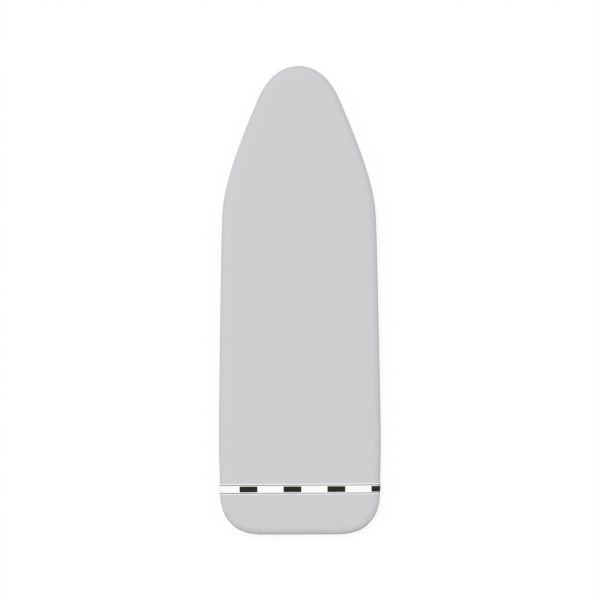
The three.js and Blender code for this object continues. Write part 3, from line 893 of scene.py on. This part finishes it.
# Stitches: short threads, each rising out of the cloth and going back in
def add_stitches(name, rows, finish, body, slot):
    """Threads at the centres of rows, along their directions and out along their normals."""
    centres, directions, normals = (np.concatenate(parts) for parts in zip(*rows))
    directions = directions / np.linalg.norm(directions, axis=1)[:, None]
    normals = normals / np.linalg.norm(normals, axis=1)[:, None]
    across = np.cross(directions, normals)
    rings = []
    for run, rise, size in STITCH_RING_SHARES:
        middle = centres + directions * (run * STITCH_LENGTH) + normals * (rise * THREAD_RADIUS)
        rings.append(tube_points(middle, across, normals, size * THREAD_RADIUS, THREAD_SIDES))
    points = np.stack(rings, 1).reshape(len(centres), -1, 3)
    faces = tube_faces(len(rings), THREAD_SIDES)
    return add_piece(name, *joined([(one, faces) for one in points]), finish, body, slot=slot)


def stitch_row(start, end, normal):
    """Centres, directions and normals of a straight row between two points."""
    start, end = np.array(start), np.array(end)
    count = max(1, round(np.linalg.norm(end - start) / STITCH_PITCH))
    shares = (np.arange(count)[:, None] + 0.5) / count
    return start + (end - start) * shares, np.tile(end - start, (count, 1)), np.tile(normal, (count, 1))


def stitch_box(low, high, inset, height, crossed=False):
    """Rows round a rectangle, seen from below, and across its corners if asked."""
    down = (0.0, 0.0, -1.0)
    a = (low.x + inset, low.y + inset, height)
    b = (low.x + inset, high.y - inset, height)
    c = (high.x - inset, high.y - inset, height)
    d = (high.x - inset, low.y + inset, height)
    pairs = [(a, b), (b, c), (c, d), (d, a)]
    if crossed:
        pairs += [(a, c), (b, d)]
    return [stitch_row(start, end, down) for start, end in pairs]


# Ribbon: woven band over the face and both edges, tucked under
right_rim = (loop_along > HALF_LOOP / 2) & (loop_along < HALF_LOOP)
rim_along = loop_along[right_rim][::-1]
rim_y = on_cloth(rim_along, 0.0)[:, 1]


def ribbon_points(across, run, lift):
    """Points of the ribbon: across its width from its middle, and run along it from the axis."""
    across, run = np.broadcast_arrays(across, run)
    line_y = RIBBON_Y + across
    along = np.interp(line_y, rim_y, rim_along)
    beyond = np.abs(run) - on_cloth(along, 0.0)[..., 0]
    edge = on_cloth(along, np.clip(beyond, 0, None), lift) * stack(np.sign(run), 1, 1)
    flat = stack(run, line_y, COVER_TOP + softness(run, line_y) + lift)
    points = np.where((beyond > 0)[..., None], edge, flat)
    points[..., 1] += RIBBON_SLOPE_SHARE * np.clip(run, -HALF_WIDTH, HALF_WIDTH)
    return points


def ribbon_band():
    count = round(RIBBON_WIDTH / RIBBON_STEP_ACROSS) + 1
    across = np.linspace(-1, 1, count)[:, None] * RIBBON_WIDTH / 2
    run = np.linspace(-RIBBON_REACH, RIBBON_REACH, round(2 * RIBBON_REACH / RIBBON_STEP_ALONG))[None]
    near_edge = smoothstep(1 - (RIBBON_WIDTH / 2 - np.abs(across)) / RIBBON_PUCKER_REACH)
    pucker = RIBBON_PUCKER * near_edge * np.sin(math.tau * run / STITCH_PITCH)
    points = ribbon_points(across, run, RIBBON_LIFT + pucker)
    piece = add_piece("ribbon_woven", points, grid_faces(count, run.size), "ribbon_weave", "cover",
                      ["ribbon_band"], uv=stack(run, across))
    thicken(piece, RIBBON_THICKNESS)
    return piece


def ribbon_way(across, run, step_across, step_run):
    """The way over the ribbon from a step before a place to a step past it."""
    past = ribbon_points(across + step_across, run + step_run, RIBBON_LIFT)
    return past - ribbon_points(across - step_across, run - step_run, RIBBON_LIFT)


def ribbon_stitches():
    edge, end = RIBBON_WIDTH / 2 - RIBBON_STITCH_FROM_EDGE, RIBBON_REACH - RIBBON_STITCH_FROM_EDGE
    long_row, short_row = (np.arange(-half + STITCH_PITCH, half, STITCH_PITCH) for half in (end, edge))
    rows = []
    for side in (-1, 1):
        for at, lengthways in (((side * edge, long_row), True), ((short_row, side * end), False)):
            beside, ahead = ribbon_way(*at, FINE_STEP, 0), ribbon_way(*at, 0, FINE_STEP)
            centres = ribbon_points(*at, RIBBON_LIFT)
            rows.append((centres, ahead if lengthways else beside, np.cross(ahead, beside)))
    return add_stitches("ribbon_stitches", rows, "thread_white", "cover", "ribbon_weave")


# Hem: a puckered tape tunnel, sewn to the skirt's inner edge and open at the tail
def casing_middle(along):
    """How high the casing's middle is: it follows the skirt's gathers some of the way."""
    return CASING_Z - CASING_FOLLOW_SHARE * gather_height(along, EDGE_DOWN)


def hem_casing():
    reach = HALF_LOOP - HEM_GAP_HALF
    along = np.linspace(-reach, reach, round(2 * reach / CASING_STEP))[:, None]
    turn = full_turn(CASING_SECTION_POINTS, 0.5)
    sides = np.abs(np.cos(turn)) ** CASING_SQUARENESS + np.abs(np.sin(turn)) ** CASING_SQUARENESS
    boxy = sides ** (-1 / CASING_SQUARENESS)
    phase = 2 * half_phase_at(along)
    roundness = read(loop_roundness, along)
    size = roundness + (1 - roundness) * CASING_SIDE_PUCKER_SHARE
    pucker = CASING_PUCKER_SHARE * size * (0.5 - 0.5 * np.sin(2 * phase + np.sin(phase)))
    layers = []
    for wall, most in ((0, 1), (CASING_WALL, CASING_ROOM_PUCKER_SHARE)):
        side = (CASING_WIDTH / 2 - wall) * boxy * np.cos(turn) * (1 - pucker * CASING_NARROWING_SHARE)
        up = (CASING_HEIGHT / 2 - wall) * boxy * np.sin(turn) * (1 - np.minimum(pucker, most))
        layers.append(stack(*inset_plan(along, CASING_INSET + side), casing_middle(along) + up))
    outer, inner = layers
    points = np.concatenate([outer, inner[::-1], outer[:1]])
    faces = grid_faces(len(points), CASING_SECTION_POINTS, wrap=True)
    return add_piece("hem_casing_sewn", points, faces, "hem_tape", "cover", ["hem_casing"], weld=True,
                     smooth_angle=CASING_SMOOTH)


def hem_stitches():
    """A row of thread on the skirt's under face, just outside the casing."""
    down = EDGE_DOWN - HEM_STITCH_FROM_HEM
    inset = SKIRT_DEPTH - HEM_STITCH_FROM_HEM
    run = np.r_[0, np.cumsum((1 - loop_bend[:-1] * inset) * np.diff(loop_along))]
    along = np.interp(np.arange(0, run[-1], STITCH_PITCH), run, loop_along)
    ahead = on_cloth(along + FINE_STEP, down) - on_cloth(along - FINE_STEP, down)
    beside = on_cloth(along, down + FINE_STEP) - on_cloth(along, down - FINE_STEP)
    normals = np.cross(ahead, beside)
    normals *= -np.sign(normals[:, 2:])
    rows = [(on_cloth(along, down), ahead, normals)]
    return add_stitches("hem_stitches", rows, "thread_grey", "cover", "hem_tape")


# Drawstring: round the hem inside the casing, out at the gap and through the lock
def cord_route():
    """Points and sideways directions of the cord's right half, from the nose to its moulded end."""
    end_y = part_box("cord_end_right")[0].y + CORD_END_BORE - LAYER_GAP
    along = np.linspace(0, HALF_LOOP - HEM_GAP_HALF, round(HALF_LOOP / FINE_STEP))
    casing = stack(*inset_plan(along, CASING_INSET), casing_middle(along))
    turn = quarter_turn(QUARTER_STEPS)[1:]
    bend = stack(HEM_GAP_HALF - CORD_BEND_RADIUS * np.sin(turn),
                 HEM_Y + CORD_BEND_RADIUS * (1 - np.cos(turn)),
                 CASING_Z + (LOCK_MIDDLE_Z - CASING_Z) * smoothstep(turn / turn[-1]))
    ys = np.linspace(HEM_Y + CORD_BEND_RADIUS, end_y, QUARTER_STEPS)[1:]
    straight = stack(CORD_SPACING / 2, ys, LOCK_MIDDLE_Z)
    points = np.concatenate([casing, bend, straight])
    sides = np.concatenate([stack(read(loop_in_x, along), read(loop_in_y, along), 0.0),
                            stack(np.sin(turn), np.cos(turn), 0.0),
                            stack(np.ones_like(ys), 0.0, 0.0)])
    run = run_of(points)
    hidden = run[len(along) - 1] - CORD_HIDDEN_STEP
    loose, fine = np.arange(0, hidden, CORD_HIDDEN_STEP), np.arange(hidden, run[-1], CORD_BRAID_STEP)
    steps = np.r_[loose, fine, run[-1]]
    return read_run(steps, run, points), read_run(steps, run, sides)


def drawstring():
    points, sides = cord_route()
    points, sides = (np.concatenate([part[:0:-1] * (-1, 1, 1), part]) for part in (points, sides))
    twist = math.tau * run_of(points)[:, None] / CORD_BRAID_PITCH
    strands = CORD_BRAID_STRANDS * full_turn(CORD_SIDES)
    braid = np.maximum(np.sin(strands + twist), np.sin(strands - twist))
    radius = CORD_RADIUS * (1 - CORD_BRAID_SHARE * (1 - braid))
    ups = np.tile((0.0, 0.0, 1.0), (len(points), 1))
    tube = tube_points(points, sides, ups, radius[..., None], CORD_SIDES)
    add_piece("drawstring_braid", tube, tube_faces(len(points), CORD_SIDES), "drawstring_cord",
              "cover", ["drawstring"])


def cord_ends():
    """Moulded ends on the cord, with two grip grooves and an open mouth."""
    bore = CORD_RADIUS + LAYER_GAP
    for name in ("cord_end_left", "cord_end_right"):
        low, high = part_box(name)
        size, centre = high - low, (low + high) / 2
        bore_end = low.y + CORD_END_BORE
        profile = [(out * size.z / 2, low.y + along * size.y) for out, along in CORD_END_SHARES]
        profile += [(bore, low.y + LAYER_GAP), (bore, bore_end), (0.0, bore_end)]
        shape = lathed_along_y(profile, CORD_END_SIDES, centre.x, centre.z)
        add_piece(f"{name}_moulded", *shape, "lock_plastic", "cover", [name], weld=True,
                  smooth_angle=CORD_END_SMOOTH)


# Cord lock: a moulded shell and its sprung button, each crossed by the cord
def rounded_plate(low, high, corner, bevel, corner_steps=8, bevel_steps=4):
    """A plate with round corners in plan and eased edges."""
    ease = quarter_turn(bevel_steps + 1)
    insets = bevel * (1 - np.sin(np.r_[ease, ease[::-1]]))
    rises = bevel * (1 - np.cos(ease))
    heights = np.r_[low[2] + rises, high[2] - rises[::-1]]
    turn = np.concatenate([quarter_turn(corner_steps + 1) + k * math.pi / 2 for k in range(4)])
    left, right = low[0] + corner, high[0] - corner
    near, far = low[1] + corner, high[1] - corner
    centres = np.array([(right, far), (left, far), (left, near), (right, near)])
    centre_x, centre_y = np.repeat(centres, corner_steps + 1, 0).T
    radius = (corner - insets)[:, None]
    points = stack(centre_x + radius * np.cos(turn), centre_y + radius * np.sin(turn), heights[:, None])
    return points, tube_faces(len(insets), len(turn))


def cut_hole(x, z, y_low, y_high, radius, lip):
    """A cutter for a hole along Y whose mouths open in a quarter round."""
    turn = quarter_turn(LOCK_HOLE_LIP_POINTS)
    widths = radius + lip * (1 - np.sin(turn))
    steps = lip * (1 - np.cos(turn))
    profile = [(0.0, y_low - CUT_OVERRUN), (radius + lip, y_low - CUT_OVERRUN)]
    profile += [*zip(widths, y_low + steps), *zip(widths[::-1], y_high - steps[::-1])]
    profile += [(radius + lip, y_high + CUT_OVERRUN), (0.0, y_high + CUT_OVERRUN)]
    return lathed_along_y(profile, LOCK_HOLE_SIDES, x, z)


def cut_groove(x, z, y_low, y_high):
    """A cutter for a round groove along Y."""
    profile = [(0.0, y_low), (LOCK_RIB_RADIUS, y_low), (LOCK_RIB_RADIUS, y_high), (0.0, y_high)]
    return lathed_along_y(profile, LOCK_RIB_SIDES, x, z)


def carved(name, blank, cutters, finish, body, nodes):
    """A blank with its cutters taken away, as a piece."""
    solids = [new_object("solid", new_mesh("solid", *shape, weld=True)) for shape in (blank, *cutters)]
    for tool in solids[1:]:
        carve = solids[0].modifiers.new("carve", "BOOLEAN")
        carve.operation = "DIFFERENCE"
        carve.solver = "EXACT"
        carve.object = tool
    bpy.context.view_layer.update()
    cut = solids[0].evaluated_get(bpy.context.evaluated_depsgraph_get())
    mesh = bpy.data.meshes.new_from_object(cut)
    for spare in solids:
        bpy.data.objects.remove(spare)
    mesh.name = name
    return new_piece(name, mesh, finish, body, nodes, smooth_angle=CUT_SMOOTH)


def cord_lock_body():
    """The shell: a room open at the button's side, two cord holes and grip grooves."""
    room_corner = LOCK_CORNER - LOCK_WALL
    room_low = (lock_low.x + LOCK_WALL, lock_low.y + LOCK_WALL, lock_low.z + LOCK_WALL)
    room_high = (lock_high.x + LOCK_CORNER, lock_high.y - LOCK_WALL, lock_high.z - LOCK_WALL)
    cutters = [rounded_plate(room_low, room_high, room_corner, CUT_BEVEL)]
    for x in CORD_XS:
        cutters.append(cut_hole(x, LOCK_MIDDLE_Z, lock_low.y, lock_high.y,
                                CORD_RADIUS + LOCK_HOLE_CLEARANCE, LOCK_HOLE_LIP))
    for number in range(LOCK_RIB_COUNT):
        x = lock_low.x + LOCK_CORNER + number * LOCK_RIB_PITCH
        for z in (lock_low.z - LOCK_RIB_RADIUS / 2, lock_high.z + LOCK_RIB_RADIUS / 2):
            cutters.append(cut_groove(x, z, lock_low.y + LOCK_WALL, lock_high.y - LOCK_WALL))
    blank = rounded_plate(lock_low, lock_high, LOCK_CORNER, LOCK_BEVEL)
    carved("cord_lock_shell", blank, cutters, "lock_plastic", "cord_lock", ["cord_lock_body"])


def cord_lock_button():
    """The button, with grip grooves and with slots that clear the cords over its whole travel."""
    half_slot = CORD_RADIUS + RUNNING_CLEARANCE
    y_low, y_high = button_low.y - CUT_OVERRUN, button_high.y + CUT_OVERRUN
    cutters = []
    for x in CORD_XS:
        slot_low = (x - half_slot, y_low, LOCK_MIDDLE_Z - half_slot)
        slot_high = (x + half_slot + BUTTON_TRAVEL, y_high, LOCK_MIDDLE_Z + half_slot)
        slot = rounded_plate(slot_low, slot_high, CUT_CORNER, CUT_BEVEL, corner_steps=1, bevel_steps=1)
        cutters.append(slot)
    groove_x = button_high.x + LOCK_RIB_RADIUS / 2
    for step in (-BUTTON_RIB_PITCH, 0, BUTTON_RIB_PITCH):
        cutters.append(cut_groove(groove_x, LOCK_MIDDLE_Z + step, y_low, y_high))
    blank = rounded_plate(button_low, button_high, BUTTON_CORNER, BUTTON_BEVEL)
    carved("cord_lock_push_button", blank, cutters, "button_plastic", "lock_button",
           ["cord_lock_button"])


def lock_spring():
    """A coil with closed ends."""
    low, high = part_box("cord_lock_spring")
    turns = np.linspace(0, SPRING_TURNS, round(SPRING_TURNS * SPRING_TURN_STEPS))
    dead_rise = SPRING_DEAD_TURNS * 2 * SPRING_WIRE_RADIUS
    length = high.x - low.x - 2 * SPRING_WIRE_RADIUS
    rise = np.interp(turns, [0, SPRING_DEAD_TURNS, SPRING_TURNS - SPRING_DEAD_TURNS, SPRING_TURNS],
                     [0, dead_rise, length - dead_rise, length])
    out = stack(0.0, np.cos(math.tau * turns), np.sin(math.tau * turns))
    path = (low.x + SPRING_WIRE_RADIUS, LOCK_MIDDLE_Y, LOCK_MIDDLE_Z) + out * SPRING_RADIUS
    path[:, 0] += rise
    axis = np.tile((1.0, 0.0, 0.0), (len(path), 1))
    tube = tube_points(path, out, axis, SPRING_WIRE_RADIUS, SPRING_SIDES)
    piece = add_piece("cord_lock_coil", tube, tube_faces(len(path), SPRING_SIDES), "spring_steel",
                      "cord_lock", ["cord_lock_spring"])
    1 - BUTTON_TRAVEL / (high.x - low.x)
    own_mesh(piece)


# Straps: ribbed elastic, sewn at the left and pressed on at the right
def webbing(name, path, y_low, y_high, thickness, body, nodes):
    """A ribbed band whose under face follows a path of X and Z."""
    path = np.array(path)
    run = run_of(path)
    steps = np.unique(np.r_[np.linspace(0, run[-1], round(run[-1] / STRAP_STEP) + 2), run])
    xs, zs = read_run(steps, run, path).T[..., None]
    lean = np.arctan(np.gradient(zs[:, 0], xs[:, 0]))[:, None]
    count = round((y_high - y_low) / STRAP_RIB_PITCH) * STRAP_RIB_POINTS + 1
    ys = np.linspace(y_low, y_high, count)
    valley = 0.5 + 0.5 * np.cos(math.tau * (ys - y_low) / STRAP_RIB_PITCH)
    from_edge = np.clip(np.minimum(ys - y_low, y_high - ys) / (thickness / 2), 0, 1)
    full = np.maximum(STRAP_EDGE_SHARE, np.sqrt(1 - (1 - from_edge) ** 2))
    half = thickness / 2 * full * (1 - STRAP_RIB_SHARE * valley)
    off = thickness / 2 + np.r_[half, -half[::-1]]
    points = stack(xs - np.sin(lean) * off, np.r_[ys, ys[::-1]], zs + np.cos(lean) * off)
    size = len(off)
    faces = grid_faces(len(xs), size, wrap=True)
    for start in (0, (len(xs) - 1) * size):
        faces += [[start + k, start + k + 1, start + size - 2 - k, start + size - 1 - k]
                  for k in range(count - 1)]
    return add_piece(name, points, faces, "elastic_webbing", body, nodes, smooth_angle=STRAP_SMOOTH)


def loop_slab(low, high, seed):
    """A slab of loop pile, its under face uneven and its edges rounded off."""
    thickness = high.z - low.z
    columns, rows = round((high.x - low.x) / LOOP_STEP), round((high.y - low.y) / LOOP_STEP)
    x, y = np.meshgrid(np.linspace(low.x, high.x, columns), np.linspace(low.y, high.y, rows))
    edge = np.minimum.reduce([x - low.x, high.x - x, y - low.y, high.y - y])
    ease = LOOP_EDGE_SHARE * thickness * (1 - smoothstep(edge / thickness))
    pile = np.random.default_rng(seed).uniform(0, LOOP_FUZZ, x.shape)
    points = np.stack([stack(x, y, low.z + ease + pile), stack(x, y, high.z - ease)])
    size = rows * columns
    grid = grid_faces(rows, columns)
    index = np.arange(size).reshape(rows, columns)
    rim = np.r_[index[0], index[1:, -1], index[-1, -2::-1], index[-2:0:-1, 0]].tolist()
    faces = grid + [[k + size for k in face][::-1] for face in grid]
    faces += [[a, b, b + size, a + size] for a, b in zip(rim, rim[1:] + rim[:1])]
    return points, faces


def hook_field(low, high):
    """A moulded base, and small hooks with round heads in staggered rows on it."""
    base_top = low.z + (high.z - low.z) * HOOK_BASE_SHARE
    height = high.z - base_top
    profile = [(size * HOOK_STEM_RADIUS, up * height) for size, up in HOOK_STEM_SHARES]
    profile += [(size * HOOK_HEAD_RADIUS, up * height) for size, up in HOOK_HEAD_SHARES]
    points, faces = lathed(profile, HOOK_SIDES)
    margin = PATCH_STITCH_FROM_EDGE + HOOK_PITCH / 2
    base_high = (high.x, high.y, base_top)
    base = rounded_plate(
        low, base_high, HOOK_BASE_CORNER, HOOK_BASE_BEVEL, corner_steps=4, bevel_steps=2)
    parts = [base]
    for number, y in enumerate(np.arange(low.y + margin, high.y - margin, HOOK_PITCH)):
        shift = HOOK_PITCH / 2 * (number % 2)
        for x in np.arange(low.x + margin + shift, high.x - margin, HOOK_PITCH):
            parts.append((points + (x, y, base_top), faces))
    return parts


def strap_web(body):
    """The free web: it starts at its sewn end and rises on to its hooks."""
    low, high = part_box(f"{body}_web")
    start_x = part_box(f"{body}_sewn_end")[1].x + STRAP_BUTT_GAP
    hooks_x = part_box(f"{body}_hook_patch")[0].x
    raised = high.z - STRAP_THICKNESS
    shares = np.linspace(0, 1, STRAP_RISE_STEPS)
    rise_x = hooks_x - STRAP_RISE_LENGTH * (1 - shares)
    rise_z = low.z + (raised - low.z) * smoothstep(shares)
    path = [(start_x, low.z), *zip(rise_x, rise_z), (high.x, raised)]
    web = webbing(f"{body}_elastic", path, low.y, high.y, STRAP_THICKNESS, None, [f"{body}_web"])
    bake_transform(web)


def strap_end(body):
    """The sewn end, doubled under itself, with its box of stitches."""
    node = f"{body}_sewn_end"
    low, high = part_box(node)
    layers = [("under", STRAP_SEWN_LIFT, high.x, STRAP_THICKNESS - STRAP_SEWN_LIFT, [node]),
              ("over", STRAP_THICKNESS, high.x - STRAP_THICKNESS, STRAP_THICKNESS, [])]
    for layer, lift, end_x, thickness, nodes in layers:
        path = [(low.x, low.z + lift), (end_x, low.z + lift)]
        webbing(f"{body}_end_{layer}", path, low.y, high.y, thickness, "cover", nodes)
    rows = stitch_box(low, high, BOX_STITCH_FROM_EDGE, low.z + 2 * STRAP_SEWN_LIFT, crossed=True)
    add_stitches(f"{body}_box_stitches", rows, "thread_grey", "cover", "elastic_webbing")


def strap_hooks(body):
    """The hook patch on the web's end, and the stitches through the web that hold it."""
    node = f"{body}_hook_patch"
    low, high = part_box(node)
    web_under_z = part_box(f"{body}_web")[1].z - STRAP_THICKNESS
    add_piece(f"{body}_hooks", *joined(hook_field(low, high)), "hook_tape", body, [node], weld=True,
              smooth_angle=HOOK_SMOOTH)
    rows = stitch_box(low, high, PATCH_STITCH_FROM_EDGE, web_under_z)
    add_stitches(f"{body}_patch_stitches", rows, "thread_grey", body, "elastic_webbing")


def strap_loops(body, seed):
    """The loop patch under the right hem, and its stitches."""
    node = f"{body}_loop_patch"
    low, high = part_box(node)
    add_piece(f"{body}_loops", *loop_slab(low, high, seed), "loop_tape", "cover", [node])
    rows = stitch_box(low, high, PATCH_STITCH_FROM_EDGE, low.z + LOOP_FUZZ)
    add_stitches(f"{body}_loop_stitches", rows, "thread_white", "cover", "loop_tape")


# Stage and light
def bare_tree(owner):
    """The nodes of a material or world, with none of those it starts with."""
    owner.use_nodes = True
    owner.node_tree.nodes.clear()
    return owner.node_tree


def shows_plainly(tree):
    """One for the rays that show the background, and zero for those that light the object."""
    rays = add_node(tree, "ShaderNodeLightPath").outputs
    seen, *others = (Value(rays[f"Is {kind} Ray"]) for kind in ("Camera", "Glossy", "Transmission"))
    for other in others:
        seen = seen.maths("MAXIMUM", other)
    return seen


def floor():
    """A white floor that shows a trace of the object's shadow, and is clear from below."""
    half = FLOOR_SIDE / 2
    corners = [(-half, -half, 0), (half, -half, 0), (half, half, 0), (-half, half, 0)]
    mesh = bpy.data.meshes.new("floor")
    mesh.from_pydata(corners, [], [(0, 1, 2, 3)])
    made = bpy.data.materials.new("floor_white")
    tree = bare_tree(made)
    plain = value_of(tree, "ShaderNodeEmission", Color=WHITE)
    shaded = value_of(tree, "ShaderNodeBsdfDiffuse", Color=WHITE)
    clear = value_of(tree, "ShaderNodeBsdfTransparent")
    white = value_of(tree, "ShaderNodeMixShader", FLOOR_PLAIN_SHARE, shaded, plain)
    above = 1 - value_of(tree, "ShaderNodeNewGeometry", output="Backfacing")
    shown = value_of(tree, "ShaderNodeMixShader", shows_plainly(tree) * above, clear, white)
    add_node(tree, "ShaderNodeOutputMaterial", Surface=shown)
    mesh.materials.append(made)
    new_object("floor", mesh)


def sky():
    """Plain white where it is seen, and dimmer towards the nose and the tail where it lights."""
    world = bpy.data.worlds.new("studio")
    bpy.context.scene.world = world
    tree = bare_tree(world)
    _, noseward, up = parts_of(value_of(tree, "ShaderNodeTexCoord", output="Generated"))
    above = (up * (0.5 / HORIZON_SHARE) + 0.5).held()
    even = (above * (SKY_SHARE - GLOW_SHARE) + GLOW_SHARE) * (1 - noseward * noseward * SKY_DIM_SHARE)
    strength = shows_plainly(tree) * (1 - even) + even
    background = value_of(tree, "ShaderNodeBackground", Color=WHITE, Strength=strength)
    add_node(tree, "ShaderNodeOutputWorld", Surface=background)


def sun():
    data = bpy.data.lights.new("sun", "SUN")
    x, y, z = np.array(SUN_DIRECTION_SHARES) / np.linalg.norm(SUN_DIRECTION_SHARES)
    data.energy = SUN_SHARE * math.pi / z
    data.angle = SUN_ANGLE
    new_object("sun", data).rotation_euler = (math.acos(z), 0, math.atan2(y, x) + math.pi / 2)


def camera():
    """Straight above, at the scale, offset and tilt measured on the photograph."""
    per_pixel = PHOTO_METRES_ACROSS / PHOTO_PIXELS
    silhouette_z = COVER_TOP - TOP_ROUND_DROP
    data = bpy.data.cameras.new("camera")
    data.lens = CAMERA_LENS_MM
    data.sensor_width = CAMERA_SENSOR_MM
    made = new_object("camera", data)
    made.location = (
        (PHOTO_PIXELS / 2 - PHOTO_AXIS_PIXEL_X) * per_pixel,
        (PHOTO_MIDDLE_PIXEL_Y - PHOTO_PIXELS / 2) * per_pixel,
        silhouette_z + PHOTO_METRES_ACROSS * CAMERA_LENS_MM / CAMERA_SENSOR_MM,
    )
    made.rotation_euler = (0, 0, -PHOTO_TILT)
    bpy.context.scene.camera = made


def declare_cloth(pieces):
    """Works out the face's sheet, cut as the outline grown by what goes over the edge, and gives nothing
    back.
    """
    grown = EDGE_DOWN - TOP_ROUND_PLAN
    outline_area = abs(np.sum(loop_x * np.roll(loop_y, -1) - loop_y * np.roll(loop_x, -1))) / 2
    2 * (HALF_WIDTH + grown)
    LENGTH + 2 * grown
    outline_area + LOOP * grown + math.pi * grown ** 2


camera()
sky()
sun()
floor()
drawstring()
cord_ends()
cloth_piece = face_cloth()
pad_sheet("foam_sheet", "foam_pad", "pad_foam")
pad_sheet("felt_sheet", "felt_underlay", "pad_felt")
declare_cloth([ribbon_band(), ribbon_stitches(), hem_casing(), hem_stitches()])
cord_lock_body()
cord_lock_button()
lock_spring()
for strap_number in range(1, STRAP_COUNT + 1):
    strap_body = f"strap_{strap_number}"
    strap_web(strap_body)
    strap_end(strap_body)
    strap_hooks(strap_body)
    strap_loops(strap_body, seed=strap_number)

bpy.context.scene.view_settings.view_transform = "Standard"
